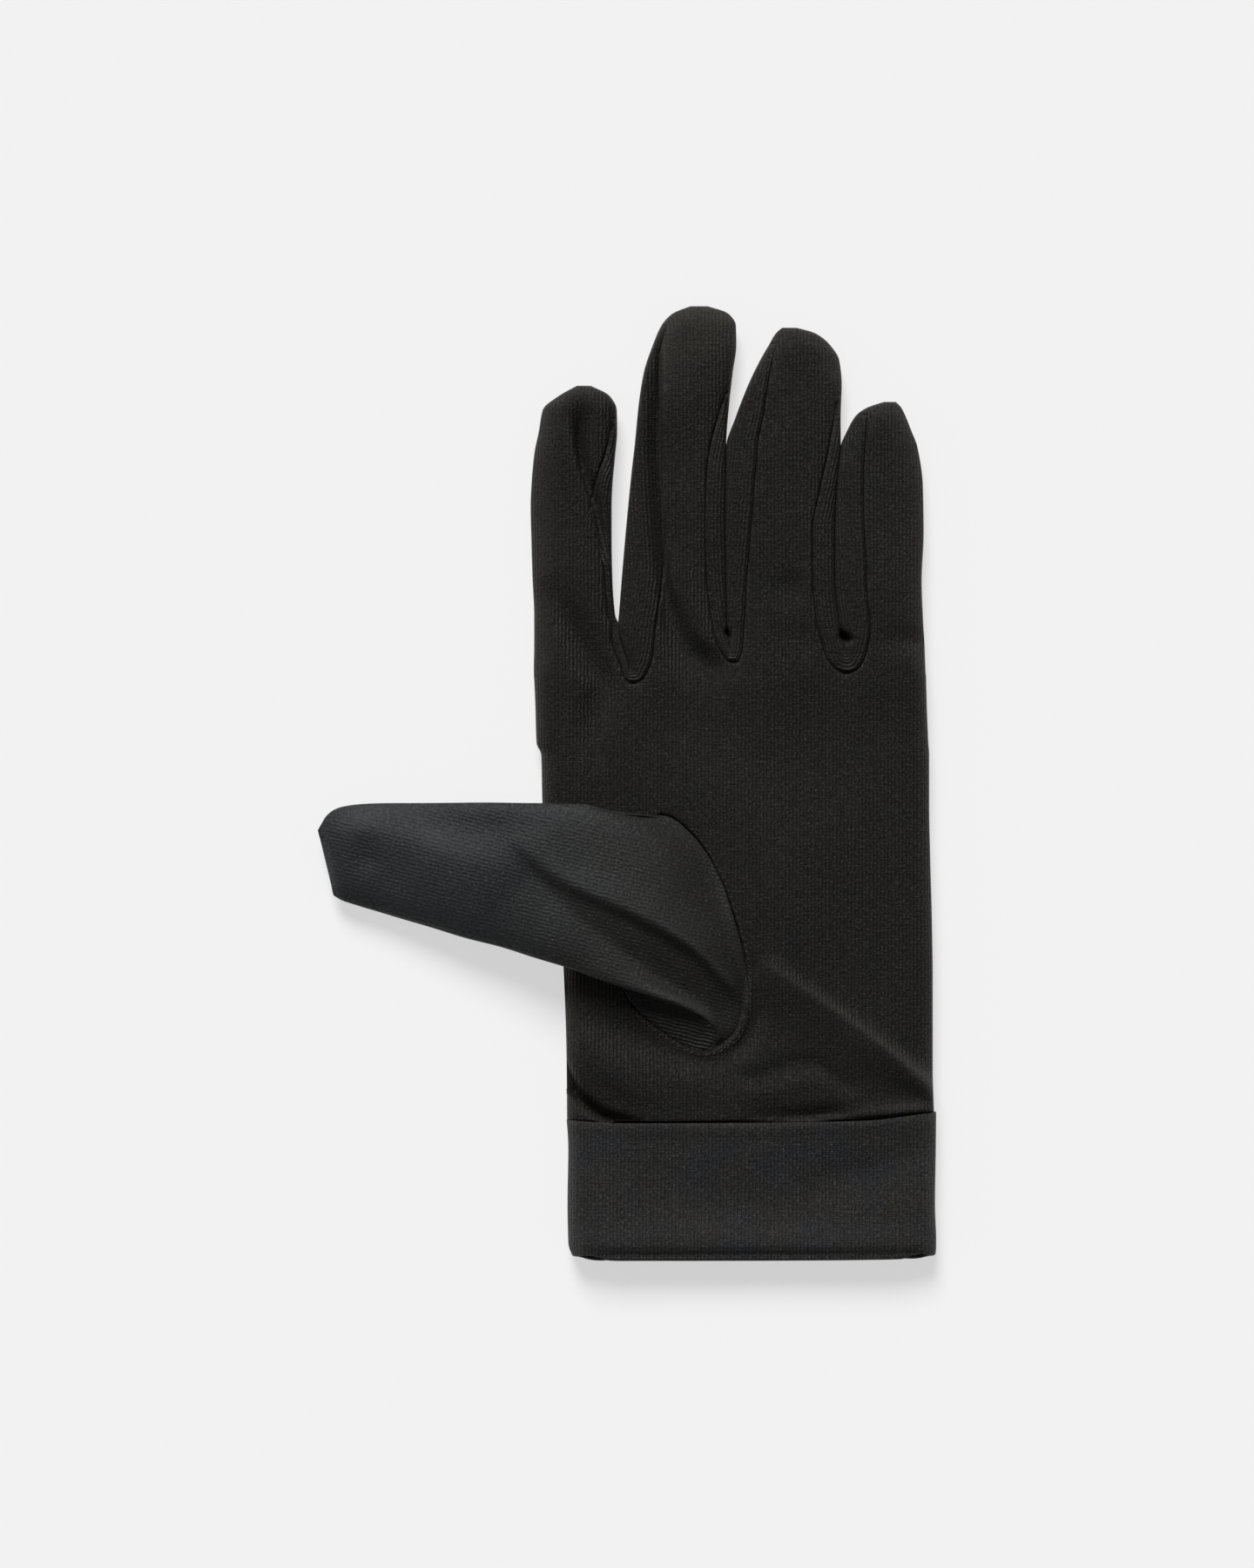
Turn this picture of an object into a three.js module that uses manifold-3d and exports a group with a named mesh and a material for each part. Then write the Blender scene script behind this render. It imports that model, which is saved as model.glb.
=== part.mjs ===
// A knitted running glove for the left hand, lying flat with its palm up and its thumb laid out
// to the side. X runs across the hand, Y towards the fingertips and Z up from the surface that
// it lies on. The origin is the middle of the whole outline, on that surface.
// The hand is a flat hollow bag of two cloth panels. The palm wraps round both sides and over the
// fingertips, and is joined to the back on the underside. Three long fourchettes make the walls
// between neighbouring fingers. The thumb is a bag of two panels sewn round an oval hole in the
// palm, and the cuff is a folded band.

import * as THREE from "three";
import Module from "manifold-3d";

const wasm = await Module();
wasm.setup();

// Driving sizes, in millimetres
const CLOTH = 1.0; // one layer of brushed knit
const CUFF_CLOTH = 1.6; // the cuff is the same knit folded double
const SEAM_GAP = 0.5; // left between the edges of two panels that are sewn together
const HOLE_GAP = 1.0; // left between the thumb and the edge of its hole in the palm
const HAND_HEIGHT = 8.0; // the empty hand, floor to palm
const FINGER_HEIGHT = 9.0;
const CUFF_HEIGHT = 8.8;
const THUMB_HEIGHT = 9.0;
const SIDE_ROUND = 5.5; // radius of the rounded upper edge of the hand and cuff
const FINGER_ROUND = 9.5; // the fingers are rounder than the hand
const FLOOR_ROUND = 3.0; // radius of the lower edge, which the floor flattens
const EDGE = 2.6; // from the outline in to the line where the upper or lower face begins
const TIP_ROUND = 11; // length over which a fingertip rounds off
const MIDDLE_HEIGHT = 4.0; // of the hand's and fingers' widest line above the floor

// How finely the cloth is divided
const FINGER_COLUMNS = 5; // across the palm side of one finger
const WALL_STEPS = 3; // from a front seam round the side to the back seam
const PALM_ROWS = 20;
const FINGER_ROWS = 11;
const TIP_ROWS = 4;
const CUFF_ROWS = 5;
const THUMB_COLUMNS = 9; // across one side of the thumb
const ELBOW_ROWS = 5; // where the thumb bends over from the palm

// Outline of the hand, from the cuff up to the roots of the fingers
const HAND = [
  { y: -86.0, left: -15.3, right: 78.4 },
  { y: -72.0, left: -15.4, right: 78.0 },
  { y: -49.0, left: -16.1, right: 78.0 },
  { y: -35.0, left: -17.4, right: 77.8 },
  { y: -20.0, left: -19.6, right: 77.4 },
  { y: -5.0, left: -21.6, right: 77.1 },
  { y: 7.6, left: -21.9, right: 77.1 },
  { y: 10.4, left: -23.1, right: 76.9 },
  { y: 20.0, left: -23.4, right: 76.5 },
  { y: 31.0, left: -23.9, right: 76.2 },
];

// The seam between palm and cuff rises a little on the little finger's side
const CUFF_SEAM = [
  { x: -16.0, y: -85.3 },
  { x: -4.0, y: -85.9 },
  { x: 30.0, y: -85.7 },
  { x: 62.0, y: -85.2 },
  { x: 79.0, y: -83.4 },
];

// Outline of the cuff, from the wrist opening up to its seam
const CUFF_MOUTH_Y = -122.1;
const CUFF = [
  { y: CUFF_MOUTH_Y, left: -13.2, right: 78.6 },
  { y: -117.0, left: -15.0, right: 78.9 },
  { y: -107.0, left: -15.2, right: 78.6 },
  { y: -93.0, left: -15.0, right: 78.8 },
  { y: -83.0, left: -15.6, right: 78.9 },
];

// The four fingers. left and right are the outline, or the line where two neighbours touch, and
// wall_l and wall_r are how much of the side wall shows beside the palm side's cloth.
const FINGERS = [
  {
    tip: 101.6,
    sections: [
      { y: 30, left: -23.8, wall_l: 2.6, wall_r: 1.9, right: 1.3 },
      { y: 41, left: -23.7, wall_l: 2.6, wall_r: 1.3, right: -2.5 },
      { y: 52, left: -24.1, wall_l: 2.6, wall_r: 1.7, right: -3.7 },
      { y: 62, left: -24.4, wall_l: 2.6, wall_r: 3.2, right: -3.9 },
      { y: 71, left: -24.6, wall_l: 2.6, wall_r: 5.2, right: -3.9 },
      { y: 76, left: -24.4, wall_l: 2.6, wall_r: 4.8, right: -3.7 },
      { y: 84, left: -23.7, wall_l: 2.6, wall_r: 2.4, right: -3.0 },
      { y: 90, left: -22.5, wall_l: 2.5, wall_r: 1.6, right: -2.5 },
      { y: 95.5, left: -21.5, wall_l: 2.4, wall_r: 1.6, right: -2.6 },
      { y: 99, left: -17.4, wall_l: 2.0, wall_r: 1.6, right: -4.4 },
      { y: 101.6, left: -12.8, wall_l: 1.0, wall_r: 1.0, right: -9.2 },
    ],
  },
  {
    tip: 121.9,
    sections: [
      { y: 30, left: 1.9, wall_l: 3.8, wall_r: 2.0, right: 26.2 },
      { y: 41, left: -2.0, wall_l: 9.6, wall_r: 3.6, right: 25.3 },
      { y: 52, left: -1.4, wall_l: 10.6, wall_r: 4.8, right: 25.0 },
      { y: 68, left: 0.0, wall_l: 8.6, wall_r: 5.1, right: 24.8 },
      { y: 80, left: 1.2, wall_l: 6.8, wall_r: 4.9, right: 24.9 },
      { y: 88, left: 2.0, wall_l: 5.8, wall_r: 3.4, right: 25.1 },
      { y: 97, left: 3.0, wall_l: 4.9, wall_r: 1.8, right: 26.1 },
      { y: 105, left: 4.3, wall_l: 3.6, wall_r: 1.6, right: 27.0 },
      { y: 112, left: 6.6, wall_l: 1.8, wall_r: 1.6, right: 27.9 },
      { y: 117, left: 8.8, wall_l: 1.6, wall_r: 1.6, right: 27.8 },
      { y: 120, left: 11.6, wall_l: 1.4, wall_r: 1.4, right: 25.9 },
      { y: 121.9, left: 16.2, wall_l: 1.0, wall_r: 1.0, right: 20.6 },
    ],
  },
  {
    tip: 116.4,
    sections: [
      { y: 30, left: 27.0, wall_l: 2.0, wall_r: 3.4, right: 55.9 },
      { y: 41, left: 25.8, wall_l: 4.0, wall_r: 6.4, right: 54.2 },
      { y: 52, left: 25.5, wall_l: 5.0, wall_r: 5.6, right: 52.9 },
      { y: 64, left: 25.3, wall_l: 6.2, wall_r: 5.8, right: 53.0 },
      { y: 76, left: 25.3, wall_l: 7.1, wall_r: 4.2, right: 53.5 },
      { y: 86, left: 25.6, wall_l: 7.7, wall_r: 3.0, right: 54.3 },
      { y: 93, left: 27.5, wall_l: 7.0, wall_r: 1.8, right: 54.4 },
      { y: 102, left: 31.0, wall_l: 4.8, wall_r: 1.6, right: 54.8 },
      { y: 108, left: 33.9, wall_l: 2.8, wall_r: 1.6, right: 54.2 },
      { y: 112, left: 36.2, wall_l: 1.6, wall_r: 1.6, right: 51.8 },
      { y: 115, left: 38.0, wall_l: 1.4, wall_r: 1.4, right: 48.0 },
      { y: 116.4, left: 39.6, wall_l: 1.0, wall_r: 1.0, right: 43.2 },
    ],
  },
  {
    tip: 97.5,
    sections: [
      { y: 30, left: 56.6, wall_l: 2.6, wall_r: 2.6, right: 76.1 },
      { y: 41, left: 54.7, wall_l: 6.9, wall_r: 2.6, right: 75.6 },
      { y: 52, left: 53.4, wall_l: 7.4, wall_r: 2.6, right: 75.2 },
      { y: 62, left: 53.5, wall_l: 7.0, wall_r: 2.6, right: 75.7 },
      { y: 74, left: 54.0, wall_l: 6.2, wall_r: 2.6, right: 75.7 },
      { y: 84, left: 54.8, wall_l: 5.7, wall_r: 2.6, right: 74.5 },
      { y: 90, left: 56.1, wall_l: 4.4, wall_r: 2.6, right: 72.6 },
      { y: 94, left: 58.4, wall_l: 2.6, wall_r: 2.4, right: 71.0 },
      { y: 96, left: 61.2, wall_l: 1.6, wall_r: 1.8, right: 70.0 },
      { y: 97.5, left: 65.6, wall_l: 0.8, wall_r: 0.8, right: 68.6 },
    ],
  },
];

// The crotches between the fingers: where the palm's slit ends, where the fourchette's own fold
// comes at the widest line, and where the slit in the back of the hand ends
const CROTCHES = [
  { name: "fourchette_index_middle", x: 1.6, y: 25.7, fold_x: 0.4, fold_y: 30.5, back_y: 26.5 },
  { name: "fourchette_middle_ring", x: 27.0, y: 31.0, fold_x: 26.5, fold_y: 34.6, back_y: 31.4 },
  { name: "fourchette_ring_little", x: 55.8, y: 28.2, fold_x: 56.0, fold_y: 32.5, back_y: 29.0 },
];
const CROTCH_WIDTH = 1.8;
const CROTCH_HEIGHT = 7.2;
const FOURCHETTE_SHORT_OF_TIP = 2; // rows between the end of a fourchette and the fingertip
const BACK_SHORT_OF_TIP = 3; // rows of the underside by which the palm panel wraps over the tip

// Main folds of the cloth: a ridge or a valley along a line, with the half width of its slope
const HAND_FOLDS = [
  { name: "heel ridge", x1: 40, y1: -50, x2: 75, y2: -77, width: 4.5, height: 0.9 },
  { name: "heel valley", x1: 18, y1: -71, x2: 52, y2: -76, width: 4.5, height: -0.7 },
  { name: "cuff puff", x1: 50, y1: -82, x2: 74, y2: -80, width: 3.4, height: 0.8 },
  { name: "wrist tuck", x1: -12, y1: -73, x2: -4, y2: -84, width: 3.0, height: -0.9 },
  { name: "wrist puff", x1: -5, y1: -70, x2: 6, y2: -83, width: 5.0, height: 0.7 },
  { name: "finger root hollow", x1: 20, y1: 25, x2: 42, y2: 22, width: 7, height: -0.6 },
  { name: "index tip dent", x1: -14, y1: 91, x2: -10, y2: 77, width: 3.2, height: -2.0 },
  { name: "middle root bulge", x1: 12, y1: 56, x2: 18, y2: 36, width: 4.5, height: 0.9 },
];
const THUMB_FOLDS = [
  { name: "long valley", x1: -25, y1: -20, x2: 22, y2: -55, width: 4.0, height: -1.6 },
  { name: "long ridge", x1: -20, y1: -16, x2: 28, y2: -48, width: 4.5, height: 0.9 },
];

// The oval that the thumb is sewn into, clockwise from its upper end. The last five points are
// hidden under the thumb.
const THUMB_OVAL = [
  { x: 8.5, y: -7.8 },
  { x: 17.5, y: -13.6 },
  { x: 24.0, y: -24.6 },
  { x: 28.3, y: -37.0 },
  { x: 30.6, y: -48.5 },
  { x: 30.0, y: -59.0 },
  { x: 25.6, y: -66.2 },
  { x: 18.0, y: -68.0 },
  { x: 9.0, y: -63.2 },
  { x: 0.8, y: -55.4 },
  { x: -2.6, y: -44.0 },
  { x: -2.4, y: -31.0 },
  { x: 1.2, y: -17.0 },
];
const FRONT_SHARE = 0.5; // of the oval, from its upper end, that carries the thumb's front
const FRONT_RISE = 0.5; // how straight up the front leaves the seam, as a share of its height
const BACK_RISE = 4.2;

// Sections of the thumb from the hand out to its tip: its upper and lower edge, the height of its
// underside above the floor, and how much of its full height it has there
const THUMB_SECTIONS = [
  { upper_x: -10, upper_y: -4.9, lower_x: -7.5, lower_y: -49.4, under: 8.7, share: 1 },
  { upper_x: -18, upper_y: -4.7, lower_x: -15, lower_y: -46.6, under: 8.5, share: 1 },
  { upper_x: -27, upper_y: -4.6, lower_x: -23.5, lower_y: -44.1, under: 7.2, share: 1 },
  { upper_x: -36, upper_y: -4.5, lower_x: -32, lower_y: -41.5, under: 5.4, share: 1 },
  { upper_x: -45, upper_y: -4.6, lower_x: -41, lower_y: -39.3, under: 3.6, share: 1 },
  { upper_x: -54, upper_y: -4.7, lower_x: -50, lower_y: -36.6, under: 1.8, share: 1 },
  { upper_x: -62, upper_y: -4.8, lower_x: -58, lower_y: -34.3, under: 0.5, share: 1 },
  { upper_x: -68.5, upper_y: -5.1, lower_x: -64, lower_y: -32.5, under: 0, share: 0.97 },
  { upper_x: -73.6, upper_y: -6.0, lower_x: -69, lower_y: -31.0, under: 0, share: 0.85 },
  { upper_x: -76.6, upper_y: -7.9, lower_x: -72.6, lower_y: -29.8, under: 0, share: 0.58 },
  { upper_x: -78.9, upper_y: -11.8, lower_x: -74.9, lower_y: -28.4, under: 0, share: 0 },
];

// Smooth interpolation through the rows of a table, with no overshoot between them
function through(rows, key, value, at) {
  const last = rows.length - 1;
  const t = Math.min(Math.max(at, rows[0][key]), rows[last][key]);
  const slope = (i) => (rows[i + 1][value] - rows[i][value]) / (rows[i + 1][key] - rows[i][key]);
  const tangent = (i) => {
    if (i === 0) return slope(0);
    if (i === last) return slope(last - 1);
    const [before, after] = [slope(i - 1), slope(i)];
    return before * after <= 0 ? 0 : (2 * before * after) / (before + after);
  };
  let i = 0;
  while (i < last - 1 && t > rows[i + 1][key]) i++;
  const span = rows[i + 1][key] - rows[i][key];
  const u = (t - rows[i][key]) / span;
  const [a, b] = [rows[i][value], rows[i + 1][value]];
  const curve = a * (1 + 2 * u) * (1 - u) ** 2 + b * u * u * (3 - 2 * u);
  return curve + span * u * (1 - u) * (tangent(i) * (1 - u) - tangent(i + 1) * u);
}

const mix = (a, b, share) => a + (b - a) * share;
const steps = (count, make) => Array.from({ length: count }, (_, i) => make(i));

// Rise of a quarter circle, from 0 at its edge to 1 at the given radius and beyond
function quarterRound(depth, radius) {
  const s = 1 - Math.min(Math.max(depth, 0), radius) / radius;
  return Math.sqrt(1 - s * s);
}

function foldHeight(folds, x, y) {
  let sum = 0;
  for (const f of folds) {
    const [dx, dy] = [f.x2 - f.x1, f.y2 - f.y1];
    const along = ((x - f.x1) * dx + (y - f.y1) * dy) / (dx * dx + dy * dy);
    const t = Math.min(Math.max(along, 0), 1);
    const away = Math.hypot(x - f.x1 - t * dx, y - f.y1 - t * dy) / f.width;
    sum += f.height * Math.exp(-away * away);
  }
  return sum;
}

// Height of the upper and of the lower face of a flat bag that reaches from left to right
function upperFace(x, left, right, height, round) {
  const reach = Math.min(round, (right - left) / 2);
  return mix(MIDDLE_HEIGHT, height, quarterRound(Math.min(x - left, right - x), reach));
}
function lowerFace(x, left, right) {
  const reach = Math.min(FLOOR_ROUND, (right - left) / 2);
  return mix(MIDDLE_HEIGHT, 0, quarterRound(Math.min(x - left, right - x), reach));
}

// One skin of cloth: points, patches, and the panel that each patch is cut from
class Skin {
  points = [];
  patches = [];
  index = new Map();

  point({ x, y, z }) {
    const key = [x, y, z].map((v) => Math.round(v * 500)).join();
    if (!this.index.has(key)) {
      this.index.set(key, this.points.length);
      this.points.push(new THREE.Vector3(x, y, z));
    }
    return this.index.get(key);
  }

  // The patches between two rings of points, which run anticlockwise seen from outside
  band(ring, next, panels) {
    panels.forEach((panel, i) => {
      const all = [ring[i], ring[i + 1], next[i + 1], next[i]];
      const corners = all.filter((corner, n) => corner !== all[(n + 1) % all.length]);
      if (corners.length > 2) this.patches.push({ panel, corners });
    });
  }

  normalOf(corners) {
    const normal = new THREE.Vector3();
    corners.forEach((corner, i) => {
      const after = this.points[corners[(i + 1) % corners.length]];
      normal.add(new THREE.Vector3().crossVectors(this.points[corner], after));
    });
    return normal;
  }

  // For every point, the way from the cloth's outer face to its inner face
  inwards(thickness) {
    const sums = this.points.map(() => new THREE.Vector3());
    const flatness = this.points.map(() => 1);
    for (const { corners } of this.patches) {
      for (const corner of corners) sums[corner].add(this.normalOf(corners));
    }
    sums.forEach((sum) => sum.normalize());
    for (const { corners } of this.patches) {
      const normal = this.normalOf(corners).normalize();
      for (const corner of corners) {
        flatness[corner] = Math.min(flatness[corner], sums[corner].dot(normal));
      }
    }
    return sums.map((sum, i) => sum.multiplyScalar(-thickness / Math.max(flatness[i], 0.8)));
  }

  // One panel as a closed sheet of cloth, drawn back from its seams by half the gap
  sheet(panel, thickness) {
    const inwards = this.inwards(thickness);
    const patches = this.patches.filter((patch) => patch.panel === panel);
    const edges = new Map();
    for (const { corners } of patches) {
      corners.forEach((a, i) => {
        const b = corners[(i + 1) % corners.length];
        if (!edges.delete(`${b},${a}`)) edges.set(`${a},${b}`, [a, b]);
      });
    }
    const fromEdges = new Map();
    for (const [a, b] of edges.values()) {
      const along = this.points[b].clone().sub(this.points[a]);
      for (const end of [a, b]) {
        const away = new THREE.Vector3().crossVectors(along, inwards[end]).normalize();
        fromEdges.set(end, [...(fromEdges.get(end) ?? []), away]);
      }
    }
    const drawnBack = (v) => {
      if (!fromEdges.has(v)) return new THREE.Vector3();
      const [one, other] = fromEdges.get(v);
      const corner = Math.max(1 + one.dot(other), 0.4);
      return one.clone().add(other).multiplyScalar(SEAM_GAP / 2 / corner);
    };
    const positions = [];
    const numbers = new Map();
    const vertex = (v, isInner) => {
      const key = `${v},${isInner}`;
      if (!numbers.has(key)) {
        numbers.set(key, positions.length / 3);
        const place = this.points[v].clone().add(drawnBack(v));
        if (isInner) place.add(inwards[v]);
        positions.push(place.x, place.y, Math.max(place.z, 0));
      }
      return numbers.get(key);
    };
    const triangles = [];
    const face = (list) => {
      for (let i = 2; i < list.length; i++) triangles.push(list[0], list[i - 1], list[i]);
    };
    for (const { corners } of patches) {
      face(corners.map((corner) => vertex(corner, false)));
      face(corners.map((corner) => vertex(corner, true)).reverse());
    }
    for (const [a, b] of edges.values()) {
      face([vertex(b, false), vertex(a, false), vertex(a, true), vertex(b, true)]);
    }
    return closedGeometry(positions, triangles);
  }
}

function closedGeometry(positions, triangles) {
  const geometry = new THREE.BufferGeometry();
  geometry.setAttribute("position", new THREE.Float32BufferAttribute(positions, 3));
  geometry.setIndex(triangles);
  return geometry;
}

// The hand is rings of points, each along the front from left to right, down the right side,
// back along the underside and up the left side to the point that it starts from
const FINGER_POINTS = FINGER_COLUMNS + 1;
const HAND_POINTS = FINGER_POINTS * FINGERS.length;
const handEdge = (side, y) => through(HAND, "y", side, y);
const seamY = (x) => through(CUFF_SEAM, "x", "y", x);

// The points between a seam of the front and the widest line, or a crotch's own fold
function sidePoints(front, wide) {
  return steps(WALL_STEPS - 1, (i) => {
    const share = (i + 1) / (WALL_STEPS - 1);
    const turn = (share * Math.PI) / 2;
    return {
      x: mix(front.x, wide.x, Math.sin(turn)),
      y: mix(front.y, wide.y, share),
      z: mix(MIDDLE_HEIGHT, front.z, Math.cos(turn)),
    };
  });
}

function ring(skin, front, back, wideLeft, wideRight) {
  const right = sidePoints(front[front.length - 1], wideRight);
  const left = sidePoints(front[0], wideLeft).reverse();
  const around = [...front, ...right, ...[...back].reverse(), ...left, front[0]];
  return around.map((p) => skin.point(p));
}

// Panels of the patches of a ring. The palm panel wraps round each side that has no fourchette.
function ringPanels(columns, under, rightPanel, leftPanel) {
  const wall = (panel) => Array(WALL_STEPS).fill(panel ?? "palm");
  const [over, below] = ["palm", under].map((panel) => Array(columns).fill(panel));
  return [...over, ...wall(rightPanel), ...below, ...wall(leftPanel)];
}

// The line across the hand where the fingers begin, on its front or on its back
function rootLine(value) {
  const [first, last] = [CROTCHES[0], CROTCHES[CROTCHES.length - 1]];
  const starts = [{ x: handEdge("left", first.y) + EDGE, y: first.y + 1.0 }];
  const ends = [];
  for (const crotch of CROTCHES) {
    ends.push({ x: crotch.x - CROTCH_WIDTH / 2, y: crotch[value] });
    starts.push({ x: crotch.x + CROTCH_WIDTH / 2, y: crotch[value] });
  }
  ends.push({ x: handEdge("right", last.y) - EDGE, y: last.y - 0.6 });
  return starts.flatMap((start, k) =>
    steps(FINGER_POINTS, (i) => ({
      x: mix(start.x, ends[k].x, i / FINGER_COLUMNS),
      y: mix(start.y, ends[k].y, i / FINGER_COLUMNS),
    })),
  );
}

function palmPoints(roots, row, isFront) {
  const share = row / PALM_ROWS;
  const lastPoint = HAND_POINTS - 1;
  return roots.map((root, i) => {
    const across = i / lastPoint;
    const cuffX = mix(handEdge("left", seamY(0)) + EDGE, handEdge("right", seamY(0)) - EDGE, across);
    const y = mix(seamY(cuffX), root.y, share);
    const [left, right] = [handEdge("left", y), handEdge("right", y)];
    const rootAcross = (root.x - roots[0].x) / (roots[lastPoint].x - roots[0].x);
    const x = mix(left + EDGE, right - EDGE, mix(across, rootAcross, share ** 2));
    if (!isFront) return { x, y, z: lowerFace(x, left, right) };
    const height = mix(HAND_HEIGHT, FINGER_HEIGHT, share ** 4);
    const z = upperFace(x, left, right, height, SIDE_ROUND) + foldHeight(HAND_FOLDS, x, y);
    const isEdge = i === 0 || i === lastPoint;
    const isCrotch = !isEdge && (i % FINGER_POINTS === 0 || i % FINGER_POINTS === FINGER_COLUMNS);
    return { x, y, z: isCrotch ? mix(z, CROTCH_HEIGHT, share ** 12) : z };
  });
}

// Where the rings of a finger lie along it: evenly, then closer together round the tip
function fingerRows(finger, base) {
  const capBase = finger.tip - TIP_ROUND;
  const straight = steps(FINGER_ROWS, (i) => mix(base, capBase, (i + 1) / FINGER_ROWS));
  const turn = (i) => ((i + 1) / TIP_ROWS) * (Math.PI / 2);
  return [...straight, ...steps(TIP_ROWS, (i) => capBase + TIP_ROUND * Math.sin(turn(i)))];
}

function fingerRing(skin, finger, y, base, roots) {
  const [left, wallLeft, wallRight, right] = ["left", "wall_l", "wall_r", "right"].map((value) =>
    through(finger.sections, "y", value, y),
  );
  const width = right - left;
  const cap = Math.max((y - finger.tip + TIP_ROUND) / TIP_ROUND, 0);
  const fullness = Math.sqrt(Math.max(1 - cap * cap, 0));
  const settling = 0.6 * (1 - (y - base) / (finger.tip - base)) ** 6;
  const line = (from, to, height) =>
    roots.map((root, i) => {
      const x = mix(from, to, i / FINGER_COLUMNS);
      const z = mix(MIDDLE_HEIGHT, height(x), fullness);
      return { x, y: y + (root.y - base) * settling, z };
    });
  const over = (x) =>
    upperFace(x, left, right, FINGER_HEIGHT, FINGER_ROUND) + foldHeight(HAND_FOLDS, x, y);
  const under = (x) => lowerFace(x, left, right);
  const inset = (wall) => Math.min(wall, 0.42 * width) * (cap < 1 ? 1 : 0);
  const floorInset = Math.min(2.2, 0.2 * width) * (cap < 1 ? 1 : 0);
  const front = line(left + inset(wallLeft), right - inset(wallRight), over);
  const back = line(left + floorInset, right - floorInset, under);
  const [wideLeft, wideRight] = [front[0], front[FINGER_COLUMNS]];
  return ring(skin, front, back, { x: left, y: wideLeft.y }, { x: right, y: wideRight.y });
}

function buildHand() {
  const skin = new Skin();
  const [frontRoots, backRoots] = [rootLine("y"), rootLine("back_y")];
  let front;
  let back;
  let below;
  for (let row = 0; row <= PALM_ROWS; row++) {
    front = palmPoints(frontRoots, row, true);
    back = palmPoints(backRoots, row, false);
    const [first, last] = [front[0], front[HAND_POINTS - 1]];
    const wideLeft = { x: handEdge("left", first.y), y: first.y };
    const wideRight = { x: handEdge("right", last.y), y: last.y };
    const here = ring(skin, front, back, wideLeft, wideRight);
    if (below) skin.band(below, here, ringPanels(HAND_POINTS - 1, "back"));
    below = here;
  }

  const webs = CROTCHES.map((crotch, k) => {
    const sides = [(k + 1) * FINGER_POINTS - 1, (k + 1) * FINGER_POINTS].map((i, isRight) => {
      const wide = { x: crotch.fold_x + (isRight - 0.5) * CROTCH_WIDTH, y: crotch.fold_y };
      return { wide, points: [front[i], ...sidePoints(front[i], wide), back[i]] };
    });
    const [left, right] = sides.map((side) => side.points.map((p) => skin.point(p)));
    skin.band(right, left, Array(WALL_STEPS).fill(crotch.name));
    return sides.map((side) => side.wide);
  });

  FINGERS.forEach((finger, k) => {
    const [before, after] = [CROTCHES[k - 1], CROTCHES[k]];
    const own = (points) => points.slice(k * FINGER_POINTS, (k + 1) * FINGER_POINTS);
    const [roots, rootsBack] = [own(front), own(back)];
    const edge = (side, y) => ({ x: handEdge(side, y), y });
    const wideLeft = before ? webs[k - 1][1] : edge("left", roots[0].y);
    const wideRight = after ? webs[k][0] : edge("right", roots[FINGER_COLUMNS].y);
    const base = Math.max(before?.fold_y ?? 0, after?.fold_y ?? 0);
    let lower = ring(skin, roots, rootsBack, wideLeft, wideRight);
    fingerRows(finger, base).forEach((y, row, rows) => {
      const hasFourchette = row < rows.length - FOURCHETTE_SHORT_OF_TIP;
      const wall = (crotch) => (hasFourchette ? crotch?.name : null);
      const under = row < rows.length - BACK_SHORT_OF_TIP ? "back" : "palm";
      const here = fingerRing(skin, finger, y, base, roots);
      skin.band(lower, here, ringPanels(FINGER_COLUMNS, under, wall(after), wall(before)));
      lower = here;
    });
  });
  return skin;
}

// The cuff: a band of folded knit, open at both ends
function buildCuff() {
  const skin = new Skin();
  let below;
  for (let row = 0; row <= CUFF_ROWS; row++) {
    const share = row / CUFF_ROWS;
    const hem = 0.7 * (1 - share) ** 5;
    const line = (isFront) =>
      steps(HAND_POINTS, (i) => {
        const across = i / (HAND_POINTS - 1);
        const seam = seamY(mix(CUFF_SEAM[0].x, CUFF_SEAM[CUFF_SEAM.length - 1].x, across));
        const y = mix(CUFF_MOUTH_Y, seam - SEAM_GAP, share);
        const [left, right] = ["left", "right"].map((side) => through(CUFF, "y", side, y));
        const x = mix(left + EDGE, right - EDGE, across);
        if (!isFront) return { x, y, z: lowerFace(x, left, right) };
        const height = mix(CUFF_HEIGHT, HAND_HEIGHT, share ** 3) - hem;
        return { x, y, z: upperFace(x, left, right, height, SIDE_ROUND) };
      });
    const front = line(true);
    const wide = (side, y) => ({ x: through(CUFF, "y", side, y), y });
    const [wideLeft, wideRight] = [wide("left", front[0].y), wide("right", front[HAND_POINTS - 1].y)];
    const here = ring(skin, front, line(false), wideLeft, wideRight);
    if (below) skin.band(below, here, Array(here.length - 1).fill("cuff"));
    below = here;
  }
  return skin;
}

// The thumb: rings from the oval in the palm, bending over to the left and out to the tip. Each
// runs down the front from the upper edge to the lower edge, and back up behind.
const ovalCurve = new THREE.CatmullRomCurve3(
  THUMB_OVAL.map((p) => new THREE.Vector3(p.x, p.y, 0)),
  true,
  "centripetal",
);

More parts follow.
